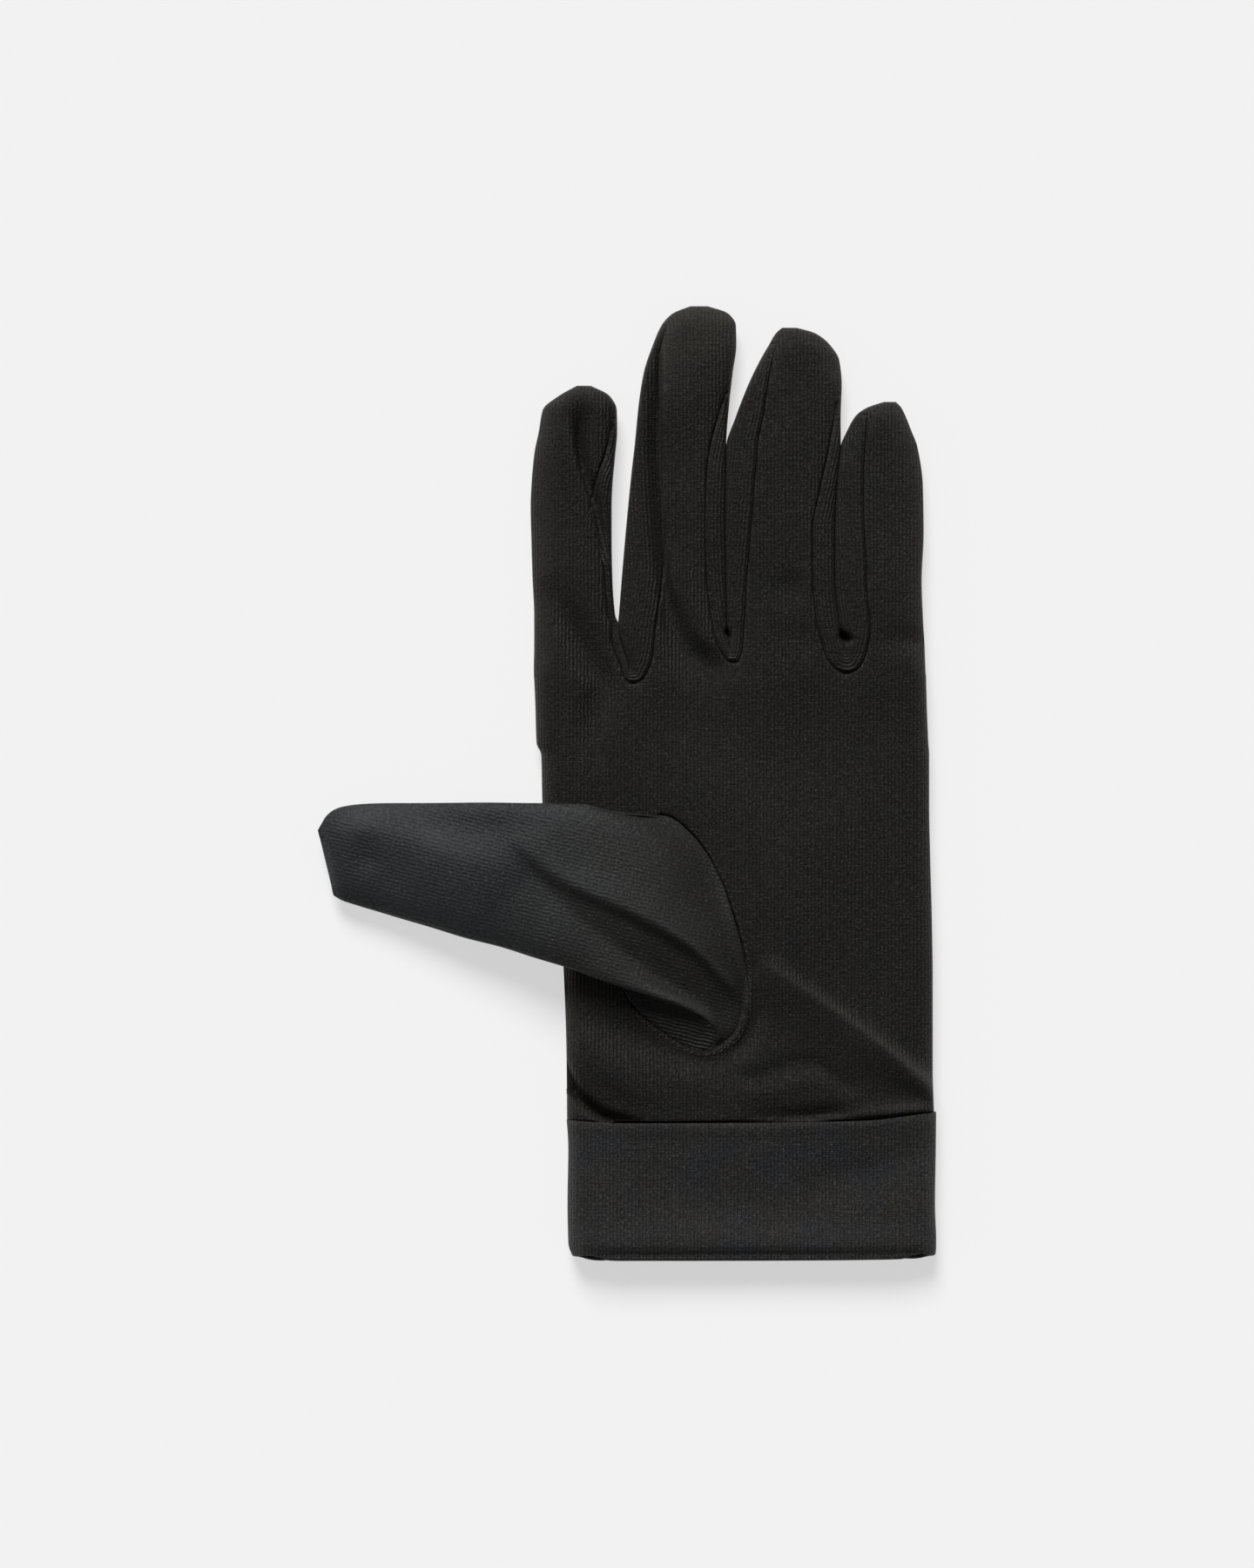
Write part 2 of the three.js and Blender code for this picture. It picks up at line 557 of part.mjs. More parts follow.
function thumbRing(section) {
  const middle = section.under + THUMB_HEIGHT / 2;
  return steps(2 * THUMB_COLUMNS, (i) => {
    const isFront = i < THUMB_COLUMNS;
    const across = isFront ? i / THUMB_COLUMNS : 2 - i / THUMB_COLUMNS;
    const eased = (1 - Math.cos(Math.PI * across)) / 2;
    const x = mix(section.upper_x, section.lower_x, eased);
    const y = mix(section.upper_y, section.lower_y, eased);
    const dome = Math.sqrt(Math.max(0, 1 - Math.abs(2 * eased - 1) ** 3)) * section.share;
    const fold = foldHeight(THUMB_FOLDS, x, y) * dome;
    const face = isFront ? section.under + THUMB_HEIGHT : section.under;
    return new THREE.Vector3(x, y, mix(middle, face, dome) + (isFront ? fold : 0));
  });
}

function elbowRing(first, t) {
  return first.map((end, i) => {
    const isFront = i < THUMB_COLUMNS;
    const round = isFront ? i / THUMB_COLUMNS : i / THUMB_COLUMNS - 1;
    const share = isFront ? round * FRONT_SHARE : mix(FRONT_SHARE, 1, round);
    const start = ovalCurve.getPointAt(share).setZ(HAND_HEIGHT - CLOTH);
    const rise = isFront ? Math.max(end.z - start.z, BACK_RISE) * FRONT_RISE : BACK_RISE;
    const lift = start.clone().setZ(start.z + rise);
    const lead = end.clone().lerp(start, 0.5).setZ(end.z + 0.3);
    const p = new THREE.CubicBezierCurve3(start, lift, lead, end).getPoint(t);
    const fullness = isFront ? Math.sin(Math.PI * round) * 4 * t * (1 - t) : 0;
    return p.setZ(p.z + foldHeight(THUMB_FOLDS, p.x, p.y) * fullness);
  });
}

function buildThumb() {
  const skin = new Skin();
  const first = thumbRing(THUMB_SECTIONS[0]);
  const elbow = steps(ELBOW_ROWS, (row) => elbowRing(first, row / ELBOW_ROWS));
  const panels = steps(2 * THUMB_COLUMNS, (i) => (i < THUMB_COLUMNS ? "front" : "back"));
  let outer;
  for (const points of [...elbow, ...THUMB_SECTIONS.map(thumbRing)]) {
    const here = points.map((p) => skin.point(p));
    here.push(here[0]);
    if (outer) skin.band(here, outer, panels);
    outer = here;
  }
  return skin;
}

// Merges the corners that an extrusion keeps apart, and makes a solid that can be cut
function solidOf(geometry) {
  const source = geometry.index ? geometry.toNonIndexed() : geometry;
  const from = source.getAttribute("position");
  const skin = new Skin();
  const corners = steps(from.count, (i) => skin.point(new THREE.Vector3().fromBufferAttribute(from, i)));
  const vertProperties = new Float32Array(skin.points.flatMap((p) => p.toArray()));
  const triVerts = new Uint32Array(corners);
  return new wasm.Manifold(new wasm.Mesh({ numProp: 3, vertProperties, triVerts }));
}

// A prism a little wider than the oval, for the hole in the palm that the thumb is sewn round
function ovalPrism() {
  const points = ovalCurve.getSpacedPoints(36).slice(0, -1);
  const outline = points.map((p, i) => {
    const ahead = points[(i + 1) % points.length];
    const behind = points[(i + points.length - 1) % points.length];
    const along = ahead.clone().sub(behind).normalize();
    return new THREE.Vector2(p.x - along.y * HOLE_GAP, p.y + along.x * HOLE_GAP);
  });
  const shape = new THREE.Shape(outline);
  const prism = new THREE.ExtrudeGeometry(shape, { depth: 3 * HAND_HEIGHT, bevelEnabled: false });
  return prism.translate(0, 0, HAND_HEIGHT / 2);
}

function palmWithThumbHole(skin) {
  const cut = solidOf(skin.sheet("palm", CLOTH)).subtract(solidOf(ovalPrism())).getMesh();
  return closedGeometry(cut.vertProperties, [...cut.triVerts]);
}

// Colours and finish of the cloth
const cloth = (color) => new THREE.MeshStandardMaterial({ color, roughness: 0.92, metalness: 0 });
const HAND_KNIT = cloth(0x242321);
const THUMB_KNIT = cloth(0x313234);
const CUFF_KNIT = cloth(0x2a2a29);

const glove = new THREE.Group();
function add(name, geometry, material) {
  const mesh = new THREE.Mesh(geometry, material);
  mesh.name = name;
  glove.add(mesh);
}

const hand = buildHand();
add("palm_panel", palmWithThumbHole(hand), HAND_KNIT);
add("back_panel", hand.sheet("back", CLOTH), HAND_KNIT);
for (const { name } of CROTCHES) add(name, hand.sheet(name, CLOTH), HAND_KNIT);

const thumb = buildThumb();
add("thumb_front_panel", thumb.sheet("front", CLOTH), THUMB_KNIT);
add("thumb_back_panel", thumb.sheet("back", CLOTH), THUMB_KNIT);
add("cuff_band", buildCuff().sheet("cuff", CUFF_CLOTH), CUFF_KNIT);

export default glove;
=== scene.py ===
import math

import bpy
import numpy as np
from mathutils.geometry import delaunay_2d_cdt
from mathutils.kdtree import KDTree
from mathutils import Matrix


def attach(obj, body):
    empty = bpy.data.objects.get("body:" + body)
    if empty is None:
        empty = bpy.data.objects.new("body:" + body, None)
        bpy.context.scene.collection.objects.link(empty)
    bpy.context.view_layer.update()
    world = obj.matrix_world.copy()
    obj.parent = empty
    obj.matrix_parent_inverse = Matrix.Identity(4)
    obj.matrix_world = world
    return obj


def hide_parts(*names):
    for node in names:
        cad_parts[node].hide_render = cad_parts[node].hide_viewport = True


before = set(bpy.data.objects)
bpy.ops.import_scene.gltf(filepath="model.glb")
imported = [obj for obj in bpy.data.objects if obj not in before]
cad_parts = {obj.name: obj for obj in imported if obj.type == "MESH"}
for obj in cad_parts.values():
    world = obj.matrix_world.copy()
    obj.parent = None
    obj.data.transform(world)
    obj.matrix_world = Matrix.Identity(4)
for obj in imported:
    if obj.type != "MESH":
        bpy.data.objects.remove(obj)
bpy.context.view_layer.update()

# Camera
# The photograph looks straight down on the glove, with the fingers up the picture. A long lens a
# metre above the surface keeps the outline almost free of perspective.
MM = 0.001
CAMERA_HEIGHT = 1004 * MM
LENS_MM = 90.0


def placed(name, data):
    """A new object in the scene."""
    thing = bpy.data.objects.new(name, data)
    bpy.context.scene.collection.objects.link(thing)
    return thing


camera = placed("camera", bpy.data.cameras.new("camera"))
camera.data.lens = LENS_MM
camera.location = (0.0, 0.0, CAMERA_HEIGHT)
bpy.context.scene.camera = camera

# Floor and lights
# A plain pale surface that glows a little, as a lit tabletop does, so that shadows on it stay
# faint. A large far soft box beyond the fingertips lights each fold from above, and a broad
# weak one fills from the thumb's side.
FLOOR_SIZE = 4.0
FLOOR_LOW = 0.3 * MM
FLOOR_TONE = 0.3
FLOOR_GLOW = 0.59
WORLD_TONE = 0.12
SOFT_BOX = {"towards": (-0.15, 0.74, 0.64), "softness": 26.0, "power": 4.0}
FILL_BOX = {"towards": (-0.8, 0.1, 0.6), "softness": 60.0, "power": 0.2}


def fill(node, inputs):
    """Gives each named input of a shader node its value, or the socket that feeds it."""
    for name, value in inputs.items():
        if isinstance(value, bpy.types.NodeSocket):
            node.id_data.links.new(value, node.inputs[name])
        else:
            node.inputs[name].default_value = value


floor_mesh = bpy.data.meshes.new("floor")
reach = FLOOR_SIZE / 2
floor_corners = [(x * reach, y * reach, -FLOOR_LOW) for x, y in ((-1, -1), (1, -1), (1, 1), (-1, 1))]
floor_mesh.from_pydata(floor_corners, [], [(0, 1, 2, 3)])
floor = placed("floor", floor_mesh)
floor_paint = bpy.data.materials.new("floor_paint")
floor_paint.use_nodes = True
fill(floor_paint.node_tree.nodes["Principled BSDF"], {
    "Base Color": (FLOOR_TONE, FLOOR_TONE, FLOOR_TONE, 1.0),
    "Roughness": 0.9,
    "Specular IOR Level": 0.1,
    "Emission Color": (1.0, 1.0, 1.0, 1.0),
    "Emission Strength": FLOOR_GLOW,
})
floor_mesh.materials.append(floor_paint)

world = bpy.data.worlds.new("studio")
world.use_nodes = True
fill(world.node_tree.nodes["Background"], {"Color": (1.0, 1.0, 1.0, 1.0), "Strength": WORLD_TONE})
bpy.context.scene.world = world
bpy.context.scene.view_settings.view_transform = "Standard"


def soft_light(name, towards, softness, power):
    """A far soft light. towards points at it from the glove, and softness is how wide it looks."""
    light = bpy.data.lights.new(name, "SUN")
    light.angle = math.radians(softness)
    light.energy = power
    lamp = placed(name, light)
    lamp.location = towards
    x, y, z = towards
    lamp.rotation_euler = (math.atan2(math.hypot(x, y), z), 0.0, math.atan2(y, x) + math.pi / 2)


soft_light("soft_box", **SOFT_BOX)
soft_light("fill_box", **FILL_BOX)

# Hand of the glove: palm, back and three fourchettes
# Five panels of brushed rib knit, sewn edge to edge into one flat bag with the seams turned in.
# The palm carries the fronts of the fingers and has an oval hole that the thumb is sewn into.
CLOTH = 1.0
HAND_HEIGHT = 8.0
FINGER_HEIGHT = 9.0
SIDE_ROUND = 4.2
FINGER_ROUND = 8.0
FLOOR_ROUND = 3.0  # of the lower edges, as the two above are of the upper ones
SIDE_EDGE = 2.6
TIP_ROUND = 7.0
TIP_LAP = 6.8  # by which the palm panel laps over each fingertip to the underside
MIDDLE_HEIGHT = 4.0  # of the widest line, where the upper and the lower faces meet
CROTCH_WIDTH = 1.8
WALL_FLATNESS = 4.0  # how long a fourchette lies level before it turns down between the fingers
CROTCH_FOLD = 0.04  # width of the fourchette's own fold, half way down

SEAM_ROLL = 1.05  # distance over which a panel's edge turns down into its seam
SEAM_DEPTH = 0.8
SEAM_HALF_GAP = 0.05
SEAM_STEPS = (0.0, 0.22, 0.5, 0.86, 1.3, 1.85)  # finer rows of points beside a seam
UNDER_SEAM_SHARE = 0.12  # depth of the seams on the floor side, as a share of the others
STRIP_END_SHARE = 0.06  # the same where a fourchette runs out into a fingertip
OVAL_SEAM_SHARE = 0.6  # the same round the thumb

GRID = 0.8
FINGER_COLUMNS = 40
BACK_COLUMNS = 20
CROTCH_COLUMNS = 4
WALL_COLUMNS = 16
LOWER_COLUMNS = 5
PALM_ROWS = 128
CAP_ROWS = 12

# Warm black of the hand's knit, in its grooves with painted shade and on its ribs, its cast in patches and
# its gloss
HAND_KNIT = {
    "dark": (0.0016, 0.0014, 0.0011), "light": (0.0092, 0.0085, 0.0073), "cast": (0.87, 0.97, 1.28),
    "gloss_tint": (1.0, 0.96, 0.88), "gloss": 0.23, "rib_depth": 0.8, "crinkle": 4.4,
}


def table(names, *rows):
    return dict(zip(names.split(), np.array(rows, float).T))


def fold(*rows, power=2.0):
    """Points along a fold: x, y, its height, and the widths of its slopes to the left and right
    when walking along it."""
    return {**table("x y height left right", *rows), "power": power}


def highlight_line(*rows):
    """Points along a painted highlight: x, y, its strength, from 0 to 1, and how wide."""
    return table("x y pull width", *rows)


def columns(rows, names):
    return np.stack([rows[name] for name in names.split()], axis=1)


HAND = table("y left right",
    (-86, -15.3, 78.4), (-72, -15.4, 78), (-49, -16.1, 78), (-35, -17.4, 77.8), (-20, -19.6, 77.4),
    (-5, -21.6, 77.1), (7.6, -21.9, 77.1), (10.4, -23.1, 76.9), (20, -23.4, 76.5), (31, -23.9, 76.2),
)
CUFF_SEAM = table("x y", (-16, -85.3), (-4, -85.9), (30, -85.7), (62, -85.2), (79, -83.4))

# How deep the seam with the cuff shows, as a share of the others
CUFF_SEAM_SHARE = table("x share",
    (-16, 0.3), (-4, 0.3), (10, 0.45), (30, 0.65), (50, 0.65), (60, 0.35), (79, 0.3),
)

# Each finger's outline, and how much of the side wall shows beside the front
INDEX = table("y left wall_l wall_r right",
    (30, -23.8, 2.6, 2.4, 0.85), (36, -23.7, 2.6, 2.4, -1.2), (41, -23.7, 2.6, 1.5, -2.2),
    (43, -23.7, 2.6, 1.6, -3), (52, -24.1, 2.6, 1.7, -3.7), (62, -24.4, 2.6, 3.2, -3.9),
    (71, -24.6, 2.6, 5.2, -3.9), (76, -24.4, 2.6, 4.8, -3.7), (84, -23.7, 2.6, 2.4, -3),
    (90, -22.5, 2.5, 1.5, -2.5), (95.5, -21.5, 2.4, 0.9, -2.6), (99, -17.4, 2, 0.9, -4.4),
    (101.6, -12.8, 1, 1, -9.2),
)
MIDDLE = table("y left wall_l wall_r right",
    (30, 0.75, 4.8, 2.4, 26.65), (36, -1.3, 8.2, 3.4, 26.1), (41, -2.3, 9.8, 3.9, 25.6),
    (43, -2.1, 10, 4.2, 25.55), (52, -1.4, 10.6, 5, 25.36), (68, 0, 8.6, 5.3, 25.16),
    (80, 1.2, 6.8, 4.9, 25.26), (86, 1.9, 6, 4, 25.28), (97, 3, 4.9, 1.7, 26.1), (105, 4.3, 3.6, 0.9, 27),
    (112, 6.6, 1.8, 1.6, 27.9), (117, 8.8, 1.6, 1.6, 27.8), (120, 11.6, 1.4, 1.4, 25.9),
    (121.9, 16.2, 1, 1, 20.6),
)
RING = table("y left wall_l wall_r right",
    (30, 26.55, 2.4, 4.4, 56.05), (36, 26, 3.4, 5.5, 55.15), (41, 25.5, 4.2, 5.9, 54.15),
    (52, 25.19, 5.2, 5.8, 53.05), (64, 24.99, 6.4, 5.8, 53), (76, 25.04, 7.3, 4.2, 53.55),
    (86, 25.27, 7.9, 3, 54.5), (93, 27.5, 7, 1.6, 54.5), (102, 31, 4.8, 0.9, 54.8),
    (108, 33.9, 2.8, 1.6, 54.2), (112, 36.2, 1.6, 1.6, 51.8), (115, 38, 1.4, 1.4, 48),
    (116.4, 39.6, 1, 1, 43.2),
)
LITTLE = table("y left wall_l wall_r right",
    (30, 55.95, 4, 2.6, 76.1), (36, 55.05, 6.4, 2.6, 75.9), (41, 54, 7.8, 2.6, 75.6),
    (52, 52.9, 7.9, 2.6, 75.2), (64, 52.85, 7.5, 2.6, 75.7), (76, 53.4, 6.7, 2.6, 75.5),
    (86, 54.47, 6, 2.6, 74.1), (90, 56.1, 4.4, 2.6, 72.6), (94, 58.4, 2.6, 2.4, 71),
    (96, 61.2, 1.6, 1.8, 70), (97.5, 65.6, 0.8, 0.8, 68.6),
)
# The y where the fourchette on each side of a finger runs out into the fingertip
FINGERS = (
    {"sections": INDEX, "tip": 101.6, "left_end": 0.0, "right_end": 92.0},
    {"sections": MIDDLE, "tip": 121.9, "left_end": 116.5, "right_end": 99.0},
    {"sections": RING, "tip": 116.4, "left_end": 112.0, "right_end": 99.0},
    {"sections": LITTLE, "tip": 97.5, "left_end": 93.5, "right_end": 0.0},
)
# Where the palm's slit ends, where the fourchette's own fold comes, and the slit in the back
CROTCHES = (
    {"node": "fourchette_index_middle", "x": 1.6, "y": 25.7, "fold": (0.4, 30.5), "back_y": 26.5},
    {"node": "fourchette_middle_ring", "x": 27.0, "y": 31.0, "fold": (26.1, 35.6), "back_y": 35.0},
    {"node": "fourchette_ring_little", "x": 55.8, "y": 28.2, "fold": (55.2, 35.4), "back_y": 34.0},
)

# The oval that the thumb is sewn into, clockwise from its upper end
THUMB_OVAL = table("x y",
    (8.5, -7.8), (17.5, -13.6), (24, -24.6), (28.3, -37), (30.6, -48.5), (30, -59), (25.6, -66.2),
    (18, -68), (9, -63.2), (0.8, -55.4), (-2.6, -44), (-2.4, -31), (1.2, -17),
)

# Folds of the hand's cloth
HAND_FOLDS = {
    "heel ridge": fold(
        (34, -44, 0, 2, 8), (39.2, -48.4, 1.2, 1.9, 8), (52.3, -57.2, 1.5, 1.7, 8),
        (67.3, -68.4, 1.9, 1.8, 6), (74.8, -74.7, 2.4, 2, 4), (79, -79, 2.6, 2.2, 3),
    ),
    "heel valley": fold(
        (14, -68.4, 0, 2, 4), (20, -71.5, -0.35, 1.8, 4), (32, -74.4, -0.7, 2, 3.4),
        (42, -71.3, -0.65, 2, 3.4), (47.5, -71.2, -0.7, 2, 3.4), (55.4, -76.4, -0.7, 2, 3),
        (60, -79, 0, 2, 2),
    ),
    "heel swell": fold(
        (22, -77, 0, 3, 2.4), (34.8, -78.2, 0.55, 2.6, 2.4), (42.3, -76, 0.5, 2.6, 2.6),
        (49, -75.4, 0.5, 2.6, 2.6), (54.8, -78.6, 0.5, 2.4, 2), (60, -80.4, 0, 2, 2),
    ),
    "heel low valley": fold(
        (28, -84.6, 0, 2, 0.9), (38, -84.8, -1, 2.2, 0.9), (46, -84.6, -1.9, 2.4, 0.9),
        (52, -84, -1.5, 2.2, 0.8), (58, -83.6, -0.3, 1.4, 0.8), (62, -83.4, 0, 1.2, 0.8),
    ),
    "cuff roll": fold(
        (52, -84.2, 0, 2.4, 0.5), (62.3, -84.1, 0.8, 2.6, 0.5), (70, -83.5, 1.1, 2.6, 0.5),
        (79, -82.7, 1.3, 2.6, 0.5),
    ),
    "wrist tuck": fold(
        (-17, -72.6, -3.6, 2.2, 0.5), (-15.6, -75.9, -4.6, 2.4, 0.5), (-13.2, -79.9, -5.2, 2.5, 0.5),
        (-9.9, -83.1, -5, 2.4, 0.5), (-5.9, -85.2, -3.8, 2.1, 0.5), (0, -86, -1.6, 1.6, 0.6),
        (5, -86.2, 0, 1.2, 1), power=2.8,
    ),
    "wrist puff": fold(
        (-11, -62, 0, 4, 4), (-8, -70, 0.9, 5, 3.2), (0, -77, 0.8, 5, 3), (10, -80, 0, 4, 3),
    ),
    "under the thumb": fold(
        (-17, -50, -1, 5, 4), (-8, -59.5, -1.6, 6, 5), (4, -65, -1.9, 6, 5), (14, -68.6, -1.6, 5, 4.5),
        (22, -70, 0, 4, 4),
    ),
    "thumb root groove": fold(
        (32.4, -43, 0, 2, 2.6), (33, -51, -0.9, 2.2, 2.8), (32.6, -59.6, -1.8, 2.8, 2.8),
        (27.8, -67.4, -2, 3.4, 2.8), (18.6, -70.6, -0.9, 3, 2.8), (10, -68, 0, 3, 2.8),
    ),
    "root hollow": fold(
        (-4, 20, 0, 6, 8), (8, 18, -0.6, 8, 10), (22, 15, -0.8, 10, 12), (40, 12.5, -0.6, 12, 12),
        (60, 10, -0.4, 12, 9), (76, 8, 0, 8, 8),
    ),
    "palm swell": fold((8, 2, 0, 10, 12), (26, -20, 0.7, 16, 14), (40, -45, 0.5, 16, 12)),
    "index root valley": fold(
        (-21, 53, 0, 4, 3), (-14, 40, -2.3, 4.6, 2.8), (-9.5, 31, -3, 4.6, 2.8),
        (-6.6, 24.4, -2.6, 4.6, 3.2), (-8.5, 12, -0.9, 4.4, 4), (-8, 2, 0, 4, 4),
    ),
    "index tip dent": fold(
        (-10.6, 98.5, 0, 3, 3), (-11.8, 95, -1.2, 3.4, 3), (-12.6, 90, -3.2, 3.2, 1.2),
        (-12.5, 85, -4.6, 2.9, 0.5), (-11.4, 79.5, -4.6, 2.3, 0.45), (-9.8, 75, -4, 1.7, 0.45),
        (-8, 69.5, -3, 1.4, 0.45), (-6.7, 63, -2, 1.2, 0.5), (-5.6, 56, 0, 1, 0.6),
    ),
    "middle crevice": fold(
        (8.8, 114, 0, 0.8, 2), (8.2, 107, -1.6, 0.7, 2.2), (8, 98, -3, 0.5, 2.4),
        (7.9, 88, -3.6, 0.5, 2.6), (8.1, 80, -3.8, 0.5, 2.6), (8.7, 68, -4, 0.5, 2.6),
        (9.5, 57, -4, 0.6, 2.4), (9.9, 50, -3.6, 1.2, 2), (10.8, 44, -3.2, 2.4, 2.2),
        (12.6, 38.4, -2.6, 3.2, 3.4), (15.6, 33.2, -2.1, 3.6, 5), (20.2, 29.8, -1.4, 3.4, 6),
        (24.5, 29.2, -0.7, 3, 6), (28.5, 29.6, 0, 2.6, 4),
    ),
    "middle root bulge": fold(
        (12.6, 62, 0, 5, 3), (14, 51, 0.8, 5, 2.8), (16.8, 42, 1.2, 5, 3), (20.4, 36.6, 1.2, 5, 2.8),
        (26, 34.5, 0, 3, 2),
    ),
    "middle tip swell": fold((6, 92, 0.5, 8, 9), (15, 97, 1.1, 9, 9), (25, 104, 1, 9, 9)),
    "ring tip swell": fold((34, 95, 0, 10, 10), (44, 92, 0.2, 11, 10), (54, 90, 0.1, 10, 9)),
    "ring fold": fold((36, 51, 0, 3, 4), (41.5, 50, -0.8, 3.4, 5), (47, 51, 0, 3, 4)),
    "ring root fold": fold((34, 39, 0, 3, 5), (42, 37.5, -0.7, 4, 6), (49, 35, -0.4, 3, 5)),
    "middle crotch pit": fold(
        (25.1, 39.6, 0, 0.5, 0.5), (25.5, 38.8, -3, 0.55, 0.55), (26, 37.6, -3.2, 0.55, 0.55),
        (26.4, 36.8, 0, 0.5, 0.5),
    ),
    "ring crotch pit": fold(
        (54.5, 38.8, -1, 0.7, 0.7), (55, 37.6, -4, 1, 1), (56, 36.8, -4, 0.9, 0.9),
        (57.1, 36.7, -1, 0.6, 0.6),
    ),
    "little root fold": fold((62, 37, 0, 3, 3.4), (68, 36.4, -0.6, 3, 3), (77, 36.4, -1, 3, 2.6)),
}


def through(rows, key, value, at):
    """Smooth interpolation through the rows of a table, with no overshoot between them."""
    k, v = rows[key], rows[value]
    slope = np.diff(v) / np.diff(k)
    tangent = np.concatenate([slope[:1], np.zeros(len(k) - 2), slope[-1:]])
    before, after = slope[:-1], slope[1:]
    same = before * after > 0
    tangent[1:-1][same] = 2 * before[same] * after[same] / (before[same] + after[same])
    t = np.clip(at, k[0], k[-1])
    i = np.clip(np.searchsorted(k, t, "right") - 1, 0, len(k) - 2)
    span = k[i + 1] - k[i]
    u = (t - k[i]) / span
    curve = v[i] * (1 + 2 * u) * (1 - u) ** 2 + v[i + 1] * u * u * (3 - 2 * u)
    return curve + span * u * (1 - u) * (tangent[i] * (1 - u) - tangent[i + 1] * u)


def mix(a, b, share):
    return a + (b - a) * share


def smooth(low, high, at):
    t = np.clip((at - low) / (high - low), 0, 1)
    return t * t * (3 - 2 * t)


def quarter_round(depth, radius):
    s = 1 - np.clip(depth, 0, radius) / radius
    return np.sqrt(1 - s * s)


def upper_face(x, left, right, height, radius):
    reach = np.minimum(radius, (right - left) / 2)
    depth = np.minimum(x - left, right - x)
    return mix(MIDDLE_HEIGHT, height, quarter_round(depth, reach))


def lower_face(x, left, right):
    reach = np.minimum(FLOOR_ROUND, (right - left) / 2)
    return mix(MIDDLE_HEIGHT, 0, quarter_round(np.minimum(x - left, right - x), reach))


def stacked(*parts):
    """Places made of their x, y and z, or of their x and y."""
    return np.stack(np.broadcast_arrays(*parts), axis=-1).astype(float)


def unit(rows):
    """The same ways with a length of one."""
    return rows / np.maximum(np.linalg.norm(rows, axis=1, keepdims=True), 1e-9)


LEAST_ROOM = 5  # times its near steps that a line has to measure, or else they get closer


def between(start, end, count, near=SEAM_STEPS):
    """count + 1 places from start to end, with the steps of near kept beside both ends."""
    start, end = np.asarray(start, float)[..., None], np.asarray(end, float)[..., None]
    near = np.array(near)
    fit = np.minimum(1, np.abs(end - start) / (near[-1] * LEAST_ROOM)) * np.sign(end - start)
    share = np.linspace(0, 1, count + 3 - 2 * len(near))[1:-1]
    inner = mix(start + near[-1] * fit, end - near[-1] * fit, share)
    return np.concatenate([start + near * fit, inner, end - near[::-1] * fit], axis=-1)


def curve_through(points, per_span, closed=False):
    """A smooth curve through rows of numbers, with per_span points from each row to the next."""
    p = np.asarray(points, float)
    ends = (p[-1:], p[:2]) if closed else (2 * p[:1] - p[1:2], 2 * p[-1:] - p[-2:-1])
    p = np.concatenate([ends[0], p, ends[1]])
    made = []
    for i in range(1, len(p) - 2):
        t = (np.arange(per_span) / per_span)[:, None]
        a, b, c, d = p[i - 1], p[i], p[i + 1], p[i + 2]
        made.append(
            0.5 * (2 * b + (c - a) * t + (2 * a - 5 * b + 4 * c - d) * t**2 + (3 * b - a - 3 * c + d) * t**3)
        )
    if not closed:
        made.append(p[-2:-1])
    return np.concatenate(made)


def evenly(line, count):
    """count points spaced evenly along a closed line."""
    loop = np.concatenate([line, line[:1]])
    along = np.concatenate([[0], np.cumsum(np.hypot(*np.diff(loop, axis=0).T))])
    at = np.arange(count) / count * along[-1]
    return stacked(*(np.interp(at, along, part) for part in loop.T))


def ways(line):
    """The way onward at each point of a closed line, and the way to its left."""
    onward = unit(np.roll(line, -1, axis=0) - np.roll(line, 1, axis=0))
    return onward, stacked(-onward[:, 1], onward[:, 0])


OVAL_STEPS = 24  # points of the oval's curve to one of its rows
OVAL_POINTS = 300
OVAL_LINE = evenly(curve_through(columns(THUMB_OVAL, "x y"), OVAL_STEPS, closed=True), OVAL_POINTS)
OVAL_SEAM = [(*place, OVAL_SEAM_SHARE) for place in OVAL_LINE[::4]]


def beside(line, x, y):
    """Distance of each point from a line of points, on its left if positive, and where along."""
    best = np.full(x.shape, 1e9)
    side = np.zeros(x.shape)
    place = np.zeros(x.shape)
    for i in range(len(line) - 1):
        a, d = line[i], line[i + 1] - line[i]
        t = np.clip(((x - a[0]) * d[0] + (y - a[1]) * d[1]) / (d @ d), 0, 1)
        rx, ry = x - a[0] - t * d[0], y - a[1] - t * d[1]
        away = np.hypot(rx, ry)
        nearer = away < best
        best = np.where(nearer, away, best)
        side = np.where(nearer, np.sign(d[0] * ry - d[1] * rx), side)
        place = np.where(nearer, i + t, place)
    return best * np.where(side == 0, 1, side), place


LINE_STEPS = 6  # points of a fold's or crest's curve to one of its rows
FOLD_REACH = 3.0  # widths beyond which a fold is flat
LEAST_SLOPE = 0.3  # width that the narrowest slope of a fold may have


def values_at(line, place):
    """What a line's rows say besides x and y, at places along it."""
    return (np.interp(place, np.arange(len(line)), part) for part in line.T[2:])


def fold_height(folds, x, y):
    total = np.zeros(x.shape)
    for rows in folds.values():
        line = curve_through(columns(rows, "x y height left right"), LINE_STEPS)
        reach = FOLD_REACH * line[:, 3:].max()
        low, high = line[:, :2].min(axis=0) - reach, line[:, :2].max(axis=0) + reach
        near = (x > low[0]) & (x < high[0]) & (y > low[1]) & (y < high[1])
        away, place = beside(line[:, :2], x[near], y[near])
        height, left, right = values_at(line, place)
        width = np.maximum(np.where(away > 0, left, right), LEAST_SLOPE)
        total[near] += height * np.exp(-(np.abs(away / width) ** rows["power"]))
    return total


